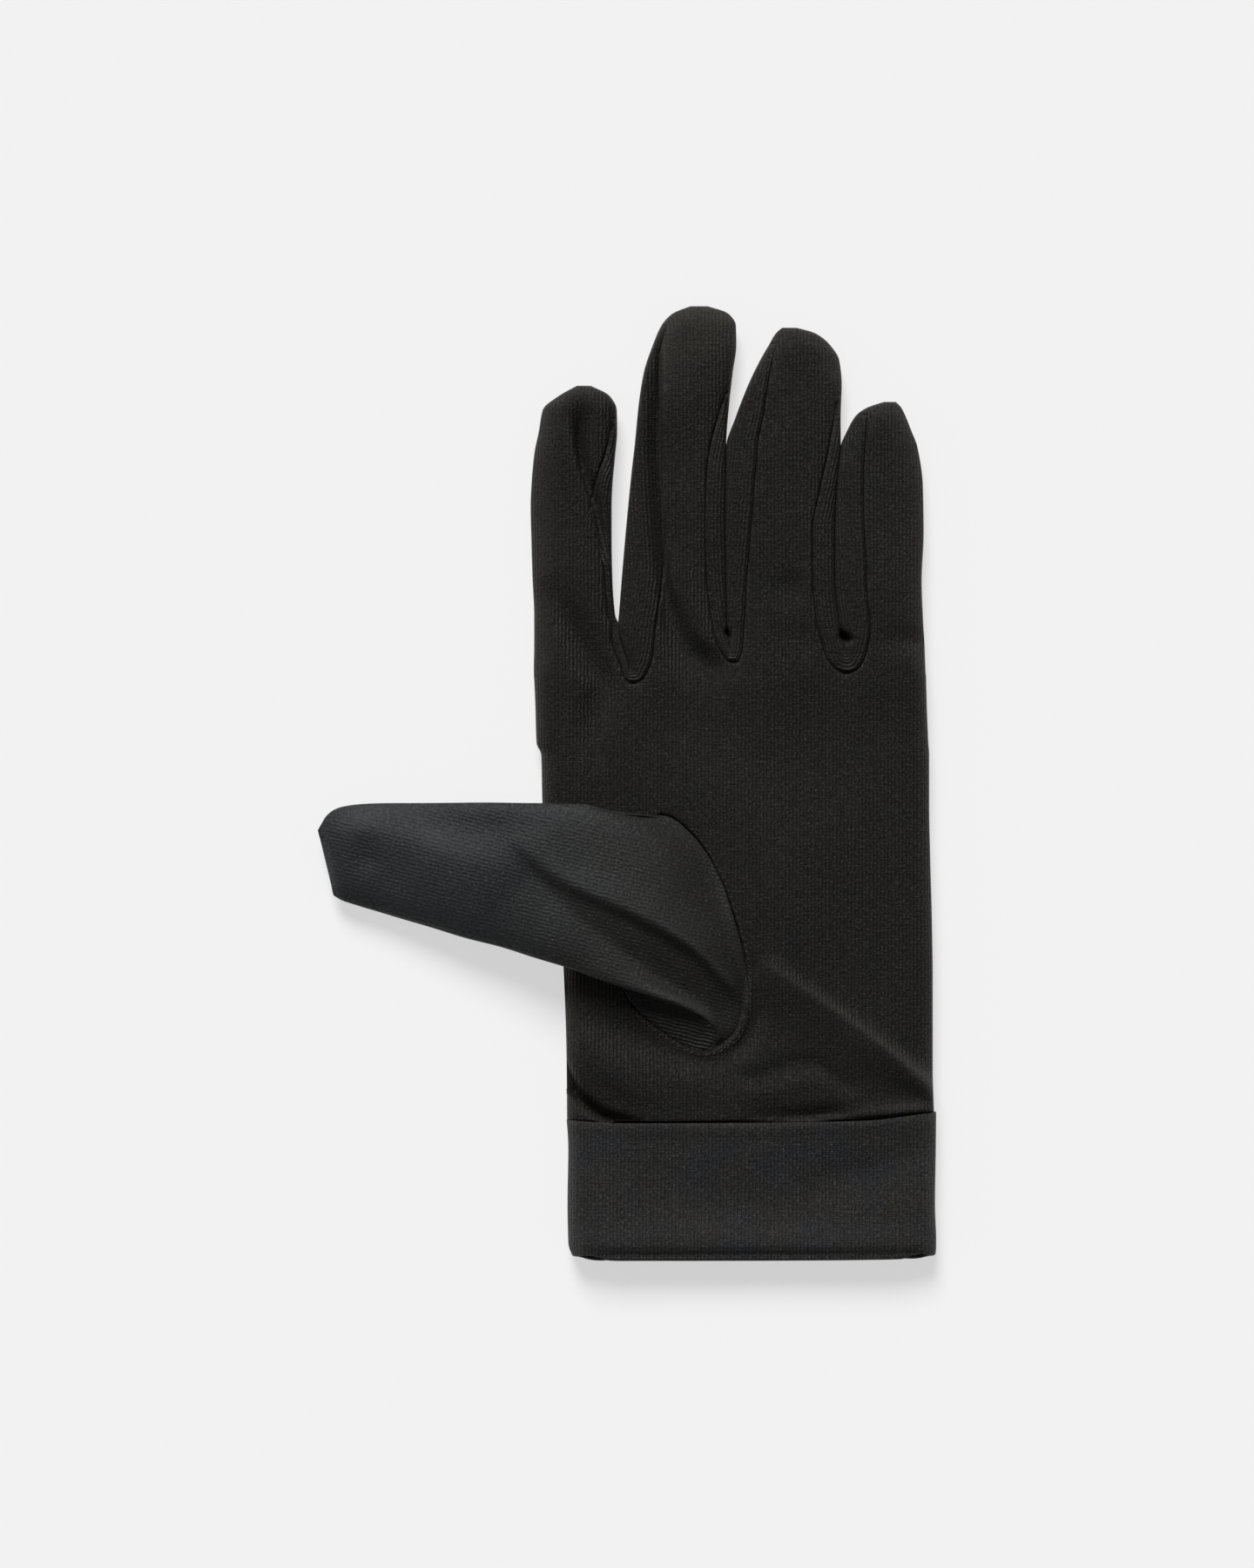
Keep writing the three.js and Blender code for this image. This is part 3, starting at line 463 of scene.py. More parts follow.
# Long soft waves of slack cloth: height, waves to the millimetre in x and in y, and phase
SLACK_WAVES = (
    (0.3, 0.009, 0.012, 0.4),
    (0.2, -0.014, 0.017, 2.1),
    (0.1, 0.027, -0.013, 4.4),
    (0.05, 0.013, 0.041, 1.3),
    (0.03, -0.053, 0.045, 3.0),
)


def slack(x, y):
    return sum(h * np.sin(2 * math.pi * (a * x + b * y) + phase) for h, a, b, phase in SLACK_WAVES)


HAND_START = -86  # the y of the wrist seam, and the hand's length up to the fingers
HAND_LENGTH = 112


def palm_height(y):
    return mix(HAND_HEIGHT, FINGER_HEIGHT, np.clip((y - HAND_START) / HAND_LENGTH, 0, 1) ** 4)


def edges(sections, y):
    """The left and the right edge of the hand, a finger or the cuff."""
    return through(sections, "y", "left", y), through(sections, "y", "right", y)


def seam_y(x):
    return through(CUFF_SEAM, "x", "y", x)


def cuff_seam_places():
    return [(x, seam_y(x), through(CUFF_SEAM_SHARE, "x", "share", x)) for x in range(-16, 80, 2)]


CROTCH_DIP = 0.5  # depth of the cloth round each crotch, and how far that reaches
CROTCH_REACH = 4.0
LEAST_WALL = 0.6  # by which a fold leaves a side wall above the widest line
MOST_FOLD = 1.0  # by which a fold may go below it on the upper face
WALL_TOP = (6.6, 7.8)  # heights between which the side wall turns into the upper face
FOLD_RISE = 2  # height above the widest line from which folds show in full


def settled(points):
    """The cloth with its folds: a point of the upper side moves up or down, the floor side stays."""
    x, y, z = points[..., 0], points[..., 1], points[..., 2]
    upper = smooth(MIDDLE_HEIGHT, MIDDLE_HEIGHT + FOLD_RISE, z)
    dips = sum(
        CROTCH_DIP * np.exp(-(((x - c["x"]) ** 2 + (y - c["y"]) ** 2) / CROTCH_REACH**2))
        for c in CROTCHES
    )
    shift = fold_height(HAND_FOLDS, x, y) + slack(x, y) - dips
    lowest = mix(MIDDLE_HEIGHT + LEAST_WALL, MIDDLE_HEIGHT - MOST_FOLD, smooth(*WALL_TOP, z))
    return stacked(x, y, np.maximum(z + upper * shift, np.minimum(z, lowest)))


# Painted highlights: the base colour is made paler along ridges and over faces turned to the light, as if
# their brushed fibres caught it
HAND_HIGHLIGHTS = {
    "index side": highlight_line(
        (-19, 92, 0.04, 4), (-21, 70, 0.1, 4.4), (-21, 44, 0.1, 5), (-18, 22, 0.11, 4.4),
        (-14, 6, 0.06, 4), (-12, -2, 0, 4),
    ),
    "heel": highlight_line(
        (33, -43.6, 0, 0.5), (37, -46.4, 0.4, 0.6), (41, -49.2, 0.5, 0.7), (52.3, -56.6, 0.5, 0.8),
        (67.3, -67.9, 0.6, 0.9), (74.4, -74, 0.9, 1.2), (78.5, -78, 1, 2),
    ),
    "middle tip": highlight_line(
        (8.4, 102, 0.3, 4), (10.6, 110, 0.5, 6.5), (17, 114, 0.56, 8), (25, 113, 0.5, 7.5),
        (27, 106, 0.2, 6),
    ),
    "ring tip": highlight_line((51, 107, 0.2, 2), (53.4, 104.6, 0.5, 2.2)),
    "palm": highlight_line(
        (8, 10, 0, 8), (22, 8, 0.09, 9), (33, 2, 0.08, 11), (30, -16, 0.05, 11), (25, -34, 0, 9),
    ),
    "cuff roll": highlight_line(
        (50, -82.3, 0, 0.6), (60, -82.8, 0.25, 0.9), (68, -82.2, 0.4, 1.1), (77, -81.4, 0.6, 1.2),
    ),
    "wrist corner": highlight_line((-15.5, -79.5, 0.3, 1.2), (-12, -83, 0.35, 1.4), (-6, -86, 0.2, 1)),
}


# The strength of the painted highlights at each point
def highlight_mask(highlights, x, y):
    total = np.zeros(x.shape)
    for rows in highlights.values():
        line = curve_through(columns(rows, "x y pull width"), LINE_STEPS)
        away, place = beside(line[:, :2], x, y)
        pull, width = values_at(line, place)
        total = np.maximum(total, pull * np.exp(-((away / width) ** 2)))
    return total


TIP_REACH = (0.5, 1.6)  # distances from a pointed corner between which its own way in fades


class Skin:
    """One skin of cloth: its points, and the patches of each panel with their cloth places."""

    def __init__(self):
        self.points = []
        self.index = {}
        self.patches = {}
        self.shallow = []  # places where the seam is shallow: x, y and the share of its depth left
        self.tips = []  # corners where the skin ends in a point: x, y and the way into it

    def numbers(self, points):
        """The number of each point, the same one for points that meet."""
        flat = points.reshape(-1, 3)
        known = len(self.index)
        keys = map(tuple, np.rint(flat * 1000).astype(int).tolist())
        found = np.array([self.index.setdefault(key, len(self.index)) for key in keys])
        numbers, first = np.unique(found, return_index=True)
        self.points.append(flat[first[numbers >= known]])
        return found.reshape(points.shape[:-1])

    def add(self, panel, corners, cloth):
        """Patches of four corners, where a triangle has one corner twice."""
        self.patches.setdefault(panel, []).append((corners, cloth))

    def grid(self, panel, points, cloth, sign=1, flip=False, skip=None):
        """Patches over rows and columns of points. Their outer side is the one from which rows
        go up and columns to the right, or to the left where sign is -1."""
        points, cloth = points[:, ::sign], cloth[:, ::sign]
        corners, places = (
            np.stack([a[:-1, :-1], a[:-1, 1:], a[1:, 1:], a[1:, :-1]], axis=2)
            for a in (self.numbers(points), cloth)
        )
        kept = np.ones(corners.shape[:2], bool) if skip is None else ~skip
        order = -1 if flip else 1
        self.add(panel, corners[kept][:, ::order], places[kept][:, ::order])

    def wall(self, panel, parts, cloths, sign=1, flip=False, rows=slice(None)):
        """Patches over some rows of both parts of a side wall."""
        for points, cloth in zip(parts, cloths):
            self.grid(panel, points[rows], cloth[rows], sign, flip)

    def finished(self):
        """All points, and the outward normal at each."""
        points = np.concatenate(self.points)
        total = np.zeros_like(points)
        for patches in self.patches.values():
            for corners, _ in patches:
                p = points[corners]
                normal = np.cross(p[:, 2] - p[:, 0], p[:, 3] - p[:, 1])
                for c in range(4):
                    np.add.at(total, corners[:, c], normal)
        normals = unit(total)
        for x, y, way_in in self.tips:
            near = 1 - smooth(*TIP_REACH, np.hypot(points[:, 0] - x, points[:, 1] - y))
            normals = mix(normals, -np.array(way_in), near[:, None])
        return points, normals


def distance_from(spots, ask):
    tree = KDTree(len(spots))
    for i, spot in enumerate(spots):
        tree.insert(spot, i)
    tree.balance()
    return np.array([tree.find(p)[2] for p in ask])


def open_edges(corners, cloth):
    """The edges that only one patch has, with the cloth places of their two ends."""
    ends = np.stack([corners, np.roll(corners, -1, axis=1)], axis=-1).reshape(-1, 2)
    places = np.stack([cloth, np.roll(cloth, -1, axis=1)], axis=2).reshape(-1, 2, 2)
    many = corners.max() + 1
    code, reverse = ends @ (many, 1), ends @ (1, many)
    is_open = (ends[:, 0] != ends[:, 1]) & ~np.isin(code, reverse)
    return ends[is_open], places[is_open]


SHALLOW_REACH = (0.8, 3.0)  # distances from a shallow place between which its seam gets deeper


def seam_share(skin, points):
    share = np.ones(len(points))
    for x, y, least in skin.shallow:
        near = 1 - smooth(*SHALLOW_REACH, np.hypot(points[:, 0] - x, points[:, 1] - y))
        share = np.minimum(share, mix(1.0, least, near))
    return share


def finished_piece(name, mesh, material):
    mesh.polygons.foreach_set("use_smooth", [True] * len(mesh.polygons))
    mesh.materials.append(material)
    mesh.validate()
    piece = placed(name, mesh)
    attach(piece, "root")
    return piece


CLOTH_SCALE = 100.0  # millimetres to one unit of the cloth's own places
UPPER_RISE = 3.2  # height above the widest line from which a seam is at its full depth


def panel_piece(skin, panel, name, thickness, material, is_mouth=None, highlights=None):
    """A panel as a closed sheet of cloth. Its sewn edges turn down into the seam, and the edges
    that is_mouth picks are rounded folds."""
    points, normals = skin.finished()
    corners, cloth = (np.concatenate(part) for part in zip(*skin.patches[panel]))
    used, corners = np.unique(corners, return_inverse=True)
    corners = corners.reshape(-1, 4)
    skin_points, inward = points[used], -normals[used]
    ends, end_places = open_edges(corners, cloth)
    is_fold = is_mouth(skin_points)[ends].all(axis=1) if is_mouth else np.zeros(len(ends), bool)
    seams, folds = ends[~is_fold], ends[is_fold]

    def from_edges(pairs):
        start, end = skin_points[pairs[:, 0]], skin_points[pairs[:, 1]]
        spots = np.concatenate([mix(start, end, t) for t in (0, 0.25, 0.5, 0.75)])
        return distance_from(spots, skin_points)

    into = np.zeros_like(skin_points)
    middles = skin_points[corners].mean(axis=1)
    for c in range(4):
        np.add.at(into, corners[:, c], middles - skin_points[corners[:, c]])
    into = unit(into)
    into[~np.isin(np.arange(len(used)), seams)] = 0

    roll = 1 - quarter_round(from_edges(seams), SEAM_ROLL)
    is_upper = smooth(MIDDLE_HEIGHT, MIDDLE_HEIGHT + UPPER_RISE, skin_points[:, 2])
    depth = SEAM_DEPTH * mix(UNDER_SEAM_SHARE, 1.0, is_upper)
    share = seam_share(skin, skin_points)
    outer = skin_points + into * (SEAM_HALF_GAP * share)[:, None]
    outer = outer + inward * (depth * share * roll)[:, None]
    inner = outer + inward * thickness
    if len(folds):
        half_cloth = thickness / 2
        bend = half_cloth * (1 - quarter_round(from_edges(folds), half_cloth))[:, None]
        outer, inner = outer + inward * bend, inner - inward * bend

    spots = np.concatenate([outer, inner])
    spots[:, 2] = np.maximum(spots[:, 2], 0.0)
    count = len(used)
    start, end = ends.T
    rim = np.stack([end, start, start + count, end + count], axis=1)
    faces = np.concatenate([corners, corners[:, ::-1] + count, rim])
    rim_places = end_places[:, [1, 0, 0, 1]]
    face_places = np.concatenate([cloth, cloth[:, ::-1], rim_places])
    kept = faces != np.roll(faces, 1, axis=1)
    whole = kept.sum(axis=1) > 2
    faces, face_places, kept = faces[whole], face_places[whole], kept[whole]
    faces = [[v for v, keep in zip(*face) if keep] for face in zip(faces.tolist(), kept.tolist())]

    mesh = bpy.data.meshes.new(name)
    mesh.from_pydata((spots * MM).tolist(), [], faces)
    layer = mesh.uv_layers.new(name="cloth")
    layer.data.foreach_set("uv", (face_places[kept] / CLOTH_SCALE).ravel())
    # Painted highlights on the upper face, kept on the mesh for the material to make the base colour paler
    if highlights:
        pull = highlight_mask(highlights, skin_points[:, 0], skin_points[:, 1]) * (skin_points[:, 2] > MIDDLE_HEIGHT)
        mesh.attributes.new("pull", "FLOAT", "POINT").data.foreach_set("value", np.tile(pull, 2))
    return finished_piece(name, mesh, material)


def side_wall(front, wide, back, ellipse, height_of):
    """Columns of cloth from a front edge round the widest line to the edge of the back. height_of
    gives the upper part's height, and ellipse is how far it is a fourchette's own curve instead."""
    turn = between(0.0, 1.0, WALL_COLUMNS, near=(0.0, 0.03, 0.07, 0.12)) * math.pi / 2
    f, w, b = front[:, None, :], wide[:, None, :], back[:, None, :]
    x = mix(f[..., 0], w[..., 0], np.sin(turn))
    y = mix(f[..., 1], w[..., 1], (turn / (math.pi / 2)))
    level = np.maximum(1 - np.sin(turn) ** WALL_FLATNESS, 0) ** (1 / WALL_FLATNESS)
    rounded = mix(w[..., 2], f[..., 2], level)
    upper = stacked(x, y, mix(height_of(x), rounded, np.reshape(ellipse, (-1, 1))))
    upper[:, 0], upper[:, -1] = front, wide
    low = np.linspace(0, math.pi / 2, LOWER_COLUMNS + 1)
    shares = (1 - np.cos(low), low / (math.pi / 2), np.sin(low))
    lower = stacked(*(mix(w[..., c], b[..., c], share) for c, share in enumerate(shares)))
    lower[:, 0], lower[:, -1] = wide, back
    return upper, lower


def arc(points):
    """Length along each row of columns, from its first point."""
    steps = np.linalg.norm(np.diff(points, axis=1), axis=2)
    return np.concatenate([np.zeros((len(points), 1)), np.cumsum(steps, axis=1)], axis=1)


def wall_cloth(upper, lower, start_x=0.0, sign=1):
    """Cloth places of both parts of a side wall. Its ribs run along y."""
    over = np.reshape(start_x, (-1, 1)) + sign * arc(upper)
    under = over[:, -1:] + sign * arc(lower)
    return stacked(over, upper[..., 1]), stacked(under, lower[..., 1])


OUTER_ROOTS = (1.0, -0.6)  # height of the fingers' outer roots over the crotch beside them


def root_line(value, count):
    """Points across the hand where the fingers begin, finger by finger and crotch by crotch."""
    first, last = CROTCHES[0], CROTCHES[-1]
    starts = [(edges(HAND, first["y"])[0] + SIDE_EDGE, first["y"] + OUTER_ROOTS[0])]
    ends = []
    for crotch in CROTCHES:
        ends.append((crotch["x"] - CROTCH_WIDTH / 2, crotch[value]))
        starts.append((crotch["x"] + CROTCH_WIDTH / 2, crotch[value]))
    ends.append((edges(HAND, last["y"])[1] - SIDE_EDGE, last["y"] + OUTER_ROOTS[1]))
    fingers = []
    for start, end in zip(starts, ends):
        x = between(start[0], end[0], count)
        fingers.append(stacked(x, mix(start[1], end[1], (x - start[0]) / (end[0] - start[0]))))
    webs = [np.linspace(*pair, CROTCH_COLUMNS + 1) for pair in zip(ends, starts[1:])]
    return fingers, webs


def joined_roots(fingers, webs):
    parts = [fingers[0]]
    for finger, web in zip(fingers[1:], webs):
        parts += [web[1:-1], finger]
    return np.concatenate(parts)


def hand_z(x, y, is_front):
    if is_front:
        return upper_face(x, *edges(HAND, y), palm_height(y), SIDE_ROUND)
    return lower_face(x, *edges(HAND, y))


WRIST_LEVEL = -85.0  # the y at which the hand's edges meet the wrist seam
FIRST_ROW = 0.016  # share of the hand's length where its rows go on from those beside the seam


def hand_grid(roots, is_front):
    beside_seam = np.array(SEAM_STEPS[:-1]) / HAND_LENGTH
    share = np.concatenate([beside_seam, np.linspace(FIRST_ROW, 1, PALM_ROWS)])[:, None]
    across = np.linspace(0, 1, len(roots))
    left, right = edges(HAND, WRIST_LEVEL)
    y = mix(seam_y(mix(left + SIDE_EDGE, right - SIDE_EDGE, across)), roots[:, 1], share)
    root_across = (roots[:, 0] - roots[0, 0]) / (roots[-1, 0] - roots[0, 0])
    left, right = edges(HAND, y)
    x = mix(left + SIDE_EDGE, right - SIDE_EDGE, mix(across, root_across, share**2))
    x[-1], y[-1] = roots[:, 0], roots[:, 1]
    return stacked(x, y, hand_z(x, y, is_front))


def inside(polygon, x, y):
    """Whether points are inside a closed polygon."""
    found = np.zeros(x.shape, bool)
    for (ax, ay), (bx, by) in zip(polygon, np.roll(polygon, -1, axis=0)):
        crosses = (ay > y) != (by > y)
        at = ax + (y - ay) / np.where(by == ay, 1e-9, by - ay) * (bx - ax)
        found ^= crosses & (x < at)
    return found


def hole_fill(skin, panel, grid, skip):
    """Fills the gap left in a grid up to a clean oval edge, with finer rows along that edge."""
    steps = {}
    for r, c in zip(*np.nonzero(skip)):
        ring = ((r, c), (r, c + 1), (r + 1, c + 1), (r + 1, c))
        for i, a in enumerate(ring):
            b = ring[(i + 1) % 4]
            if steps.pop((b, a), None) is None:
                steps[(a, b)] = True
    follow = dict(steps.keys())
    start = next(iter(follow))
    border = [start]
    while follow[border[-1]] != start:
        border.append(follow[border[-1]])
    outline = np.array([grid[p][:2] for p in border])
    line = OVAL_LINE[::2]
    _, outward = ways(line)
    rings = [line + outward * step for step in SEAM_STEPS]
    flat = np.concatenate([outline] + rings)
    n, m = len(outline), len(line)
    lines = [(i, (i + 1) % n) for i in range(n)] + [(n + i, n + (i + 1) % m) for i in range(m)]
    made = delaunay_2d_cdt([tuple(p) for p in flat], lines, [], 0, 1e-5)
    xy = np.array([tuple(p) for p in made[0]])
    tris = np.array(made[2])
    centre = xy[tris].mean(axis=1)
    keep = inside(outline, *centre.T) & ~inside(line, *centre.T)
    points = settled(stacked(xy[:, 0], xy[:, 1], hand_z(xy[:, 0], xy[:, 1], True)))
    corners = tris[keep][:, [0, 1, 2, 2]]
    skin.add(panel, skin.numbers(points)[corners], xy[corners])


HOLE_CLEAR = 3.0  # ring round the thumb's hole that has its own finer points


def build_hand():
    skin = Skin()
    skin.shallow = OVAL_SEAM + cuff_seam_places()
    front_fingers, front_webs = root_line("y", FINGER_COLUMNS)
    back_fingers, back_webs = root_line("back_y", BACK_COLUMNS)
    front = hand_grid(joined_roots(front_fingers, front_webs), True)
    back = hand_grid(joined_roots(back_fingers, back_webs), False)

    cells = (front[:-1, :-1, :2] + front[1:, 1:, :2]) / 2
    near, _ = beside(np.concatenate([OVAL_LINE[::4], OVAL_LINE[:1]]), cells[..., 0], cells[..., 1])
    skip = inside(OVAL_LINE[::4], cells[..., 0], cells[..., 1]) | (np.abs(near) < HOLE_CLEAR)
    skin.grid("palm", settled(front), front[..., :2], skip=skip)
    hole_fill(skin, "palm", front, skip)
    skin.grid("back", back, back[..., :2], -1)

    def side(column, sign, name):
        edge, under = front[:, column], back[:, column]
        wide = stacked(through(HAND, "y", name, edge[:, 1]), edge[:, 1], MIDDLE_HEIGHT)

        def height(x):
            rise = quarter_round(np.abs(x - wide[:, :1]), SIDE_ROUND)
            return mix(MIDDLE_HEIGHT, palm_height(edge[:, 1:2]), rise)

        upper, lower = side_wall(edge, wide, under, 0.0, height)
        cloths = wall_cloth(upper, lower, edge[:, 0], sign)
        skin.wall("palm", (settled(upper), lower), cloths, sign)

    side(0, -1, "left")
    side(-1, 1, "right")

    for k, crotch in enumerate(CROTCHES):
        top, bottom = front_webs[k], back_webs[k]
        lead = np.linspace(-0.5, 0.5, CROTCH_COLUMNS + 1) * CROTCH_FOLD
        wide = stacked(crotch["fold"][0] + lead, crotch["fold"][1], MIDDLE_HEIGHT)
        over = stacked(top[:, 0], top[:, 1], hand_z(top[:, 0], top[:, 1], True))
        under = stacked(bottom[:, 0], bottom[:, 1], hand_z(bottom[:, 0], bottom[:, 1], False))
        upper, lower = side_wall(over, wide, under, 1.0, lambda x: 0 * x)
        skin.wall(crotch["node"], (settled(upper), lower), wall_cloth(upper, lower), flip=True)

    for k, finger in enumerate(FINGERS):
        build_finger(skin, finger, k, front_fingers[k], back_fingers[k])
    return skin


ROOT_FADE = 11.0  # how far up a finger the slant of its root still shows
ROOT_ROUND = 5.0  # over which its sides leave the crotch
WALL_LIMIT = 0.42  # widest that a side wall may be, as a share of the finger
STRIP_FADE = 14.0  # over which a fourchette turns into a round side at its end
ROOT_CROWDING = 1.08  # the higher, the closer its rows lie near the root
OWN_RISE = 9  # over which its face changes from the hand's into a round one of its own
FLOOR_INSET = 2.2  # of the back's edges, and the most that it may be as a share of the finger
INSET_LIMIT = 0.2


def build_finger(skin, finger, k, roots, back_roots):
    sections, tip = finger["sections"], finger["tip"]
    before = CROTCHES[k - 1] if k > 0 else None
    after = CROTCHES[k] if k < len(CROTCHES) else None
    base = roots[:, 1].mean()
    cap_base = tip - TIP_ROUND
    count = round((cap_base - base) / GRID)
    shaft = mix(base, cap_base, np.linspace(0, 1, count) ** ROOT_CROWDING)
    dome = cap_base + TIP_ROUND * np.sin(np.linspace(0, math.pi / 2, CAP_ROWS + 1)[1:])
    level = np.concatenate([shaft, dome])
    settle = np.exp(-((level - base) / ROOT_FADE)) * (level < cap_base)
    settle[0] = 1.0
    turn = 1 - quarter_round(level - base, ROOT_ROUND)

    def value(name, y):
        return through(sections, "y", name, y)

    def line(root_points, inset_left, inset_right, count):
        y = level[:, None] + (root_points[:, 1] - base) * settle[:, None]
        x = between(left + inset_left, right - inset_right, count)
        return mix(x, root_points[:, 0], turn[:, None]), y

    cap = np.clip((level - cap_base) / TIP_ROUND, 0, 1)
    full = np.sqrt(np.maximum(1 - cap**2, 0))
    left, right = edges(sections, level)
    width = right - left
    round_end = (cap < 1) * 1.0
    walls = [
        np.minimum(value(wall, level), WALL_LIMIT * width) * round_end for wall in ("wall_l", "wall_r")
    ]
    floor_inset = np.minimum(FLOOR_INSET, INSET_LIMIT * width) * round_end

    x, y = line(roots, *walls, FINGER_COLUMNS)
    root_z = upper_face(x, *edges(HAND, y), palm_height(y), SIDE_ROUND)
    own_z = upper_face(x, left[:, None], right[:, None], FINGER_HEIGHT, FINGER_ROUND)
    own_share = smooth(0, OWN_RISE, level - base)[:, None]
    z = mix(MIDDLE_HEIGHT, mix(root_z, own_z, own_share), full[:, None])
    front = stacked(x, y, z)
    x, y = line(back_roots, floor_inset, floor_inset, BACK_COLUMNS)
    root_z = lower_face(x, *edges(HAND, y))
    z = mix(root_z, lower_face(x, left[:, None], right[:, None]), own_share)
    back = stacked(x, y, mix(MIDDLE_HEIGHT, z, full[:, None]))

    def wide(crotch, name, column, sign):
        if crotch is None:
            y = front[:, column, 1]
            hand_x = through(HAND, "y", name, y)
            return stacked(mix(value(name, level), hand_x, turn), y, MIDDLE_HEIGHT)
        fold_x, fold_y = crotch["fold"]
        y = level + (fold_y - base) * settle
        x = mix(value(name, y), fold_x + sign * CROTCH_FOLD / 2, turn)
        return stacked(x, y, MIDDLE_HEIGHT)

    def side(column, sign, name, crotch, end):
        edge, under, far = front[:, column], back[:, column], wide(crotch, name, column, -sign)
        reach = np.minimum(FINGER_ROUND, width / 2)[:, None]

        def height(x):
            depth = np.abs(x - far[:, :1])
            low = mix(MIDDLE_HEIGHT, FINGER_HEIGHT, quarter_round(depth, reach))
            flat = mix(MIDDLE_HEIGHT, palm_height(edge[:, 1:2]), quarter_round(depth, SIDE_ROUND))
            return mix(MIDDLE_HEIGHT, mix(flat, low, own_share), full[:, None])

        ellipse = (1 - smooth(end - STRIP_FADE, end, level)) if crotch else np.zeros(len(level))
        upper, lower = side_wall(edge, far, under, ellipse, height)
        parts = (settled(upper), lower)
        last = int(np.searchsorted(level, end)) if crotch else 0
        cloths = wall_cloth(upper, lower, edge[:, 0], sign)
        skin.wall("palm", parts, cloths, sign, rows=slice(last, None))
        if crotch:
            skin.shallow.append((*(edge[last] + far[last])[:2] / 2, STRIP_END_SHARE))
            skin.wall(crotch["node"], parts, wall_cloth(upper, lower), sign, rows=slice(last + 1))

    skin.grid("palm", settled(front), front[..., :2])
    over = int(np.searchsorted(level, tip - TIP_LAP))
    skin.grid("back", back[: over + 1], back[: over + 1, :, :2], -1)
    skin.grid("palm", back[over:], back[over:, :, :2], -1)
    side(0, -1, "left", before, finger["left_end"])
    side(-1, 1, "right", after, finger["right_end"])


def add_node(tree, kind, inputs=(), **settings):
    """A shader node, with the given settings and inputs."""
    node = tree.nodes.new("ShaderNode" + kind)
    for name, value in settings.items():
        setattr(node, name, value)
    fill(node, dict(inputs))
    return node


# The knit in millimetres: from rib to rib, and from one row of stitches to the next
WALE = 0.93
COURSE = 0.6
# Waves to the millimetre and detail of each kind of unevenness
WANDER_NOISE = (0.35, 2.0)
CRINKLE_NOISE = (1.4, 3.0)
FIBRE_NOISE = (4.5, 2.0)
SPECK_NOISE = (2.4, 1.0)
LINT_NOISE = (1.7, 0.0)
PATCH_NOISE = (0.06, 4.0)
TINT_NOISE = (0.09, 1.6)
LINT_CUT = 9.0  # how sharply specks and lint stand out
SPECKS_FROM = 0.66  # strength of their noise from which specks and lint show
LINT_FROM = 0.7
# Factor and offset of each pattern
WANDER = (0.7, -0.35)
STITCH_TONE = (0.9, 0.3)
PATCH_TONE = (0.5, -0.25)
TINT_TONE = (4.4, -1.9)
LOOP_DEPTH = (0.35, 0.65)
# Factors of the others, and the darkest tone, which counts as the groove's painted shade
RIB_SHADE = 1.2
SPECK_TONE = 0.8
CRINKLE_DEPTH = 0.33
FIBRE_DEPTH = 0.3
DARKEST = 0.14


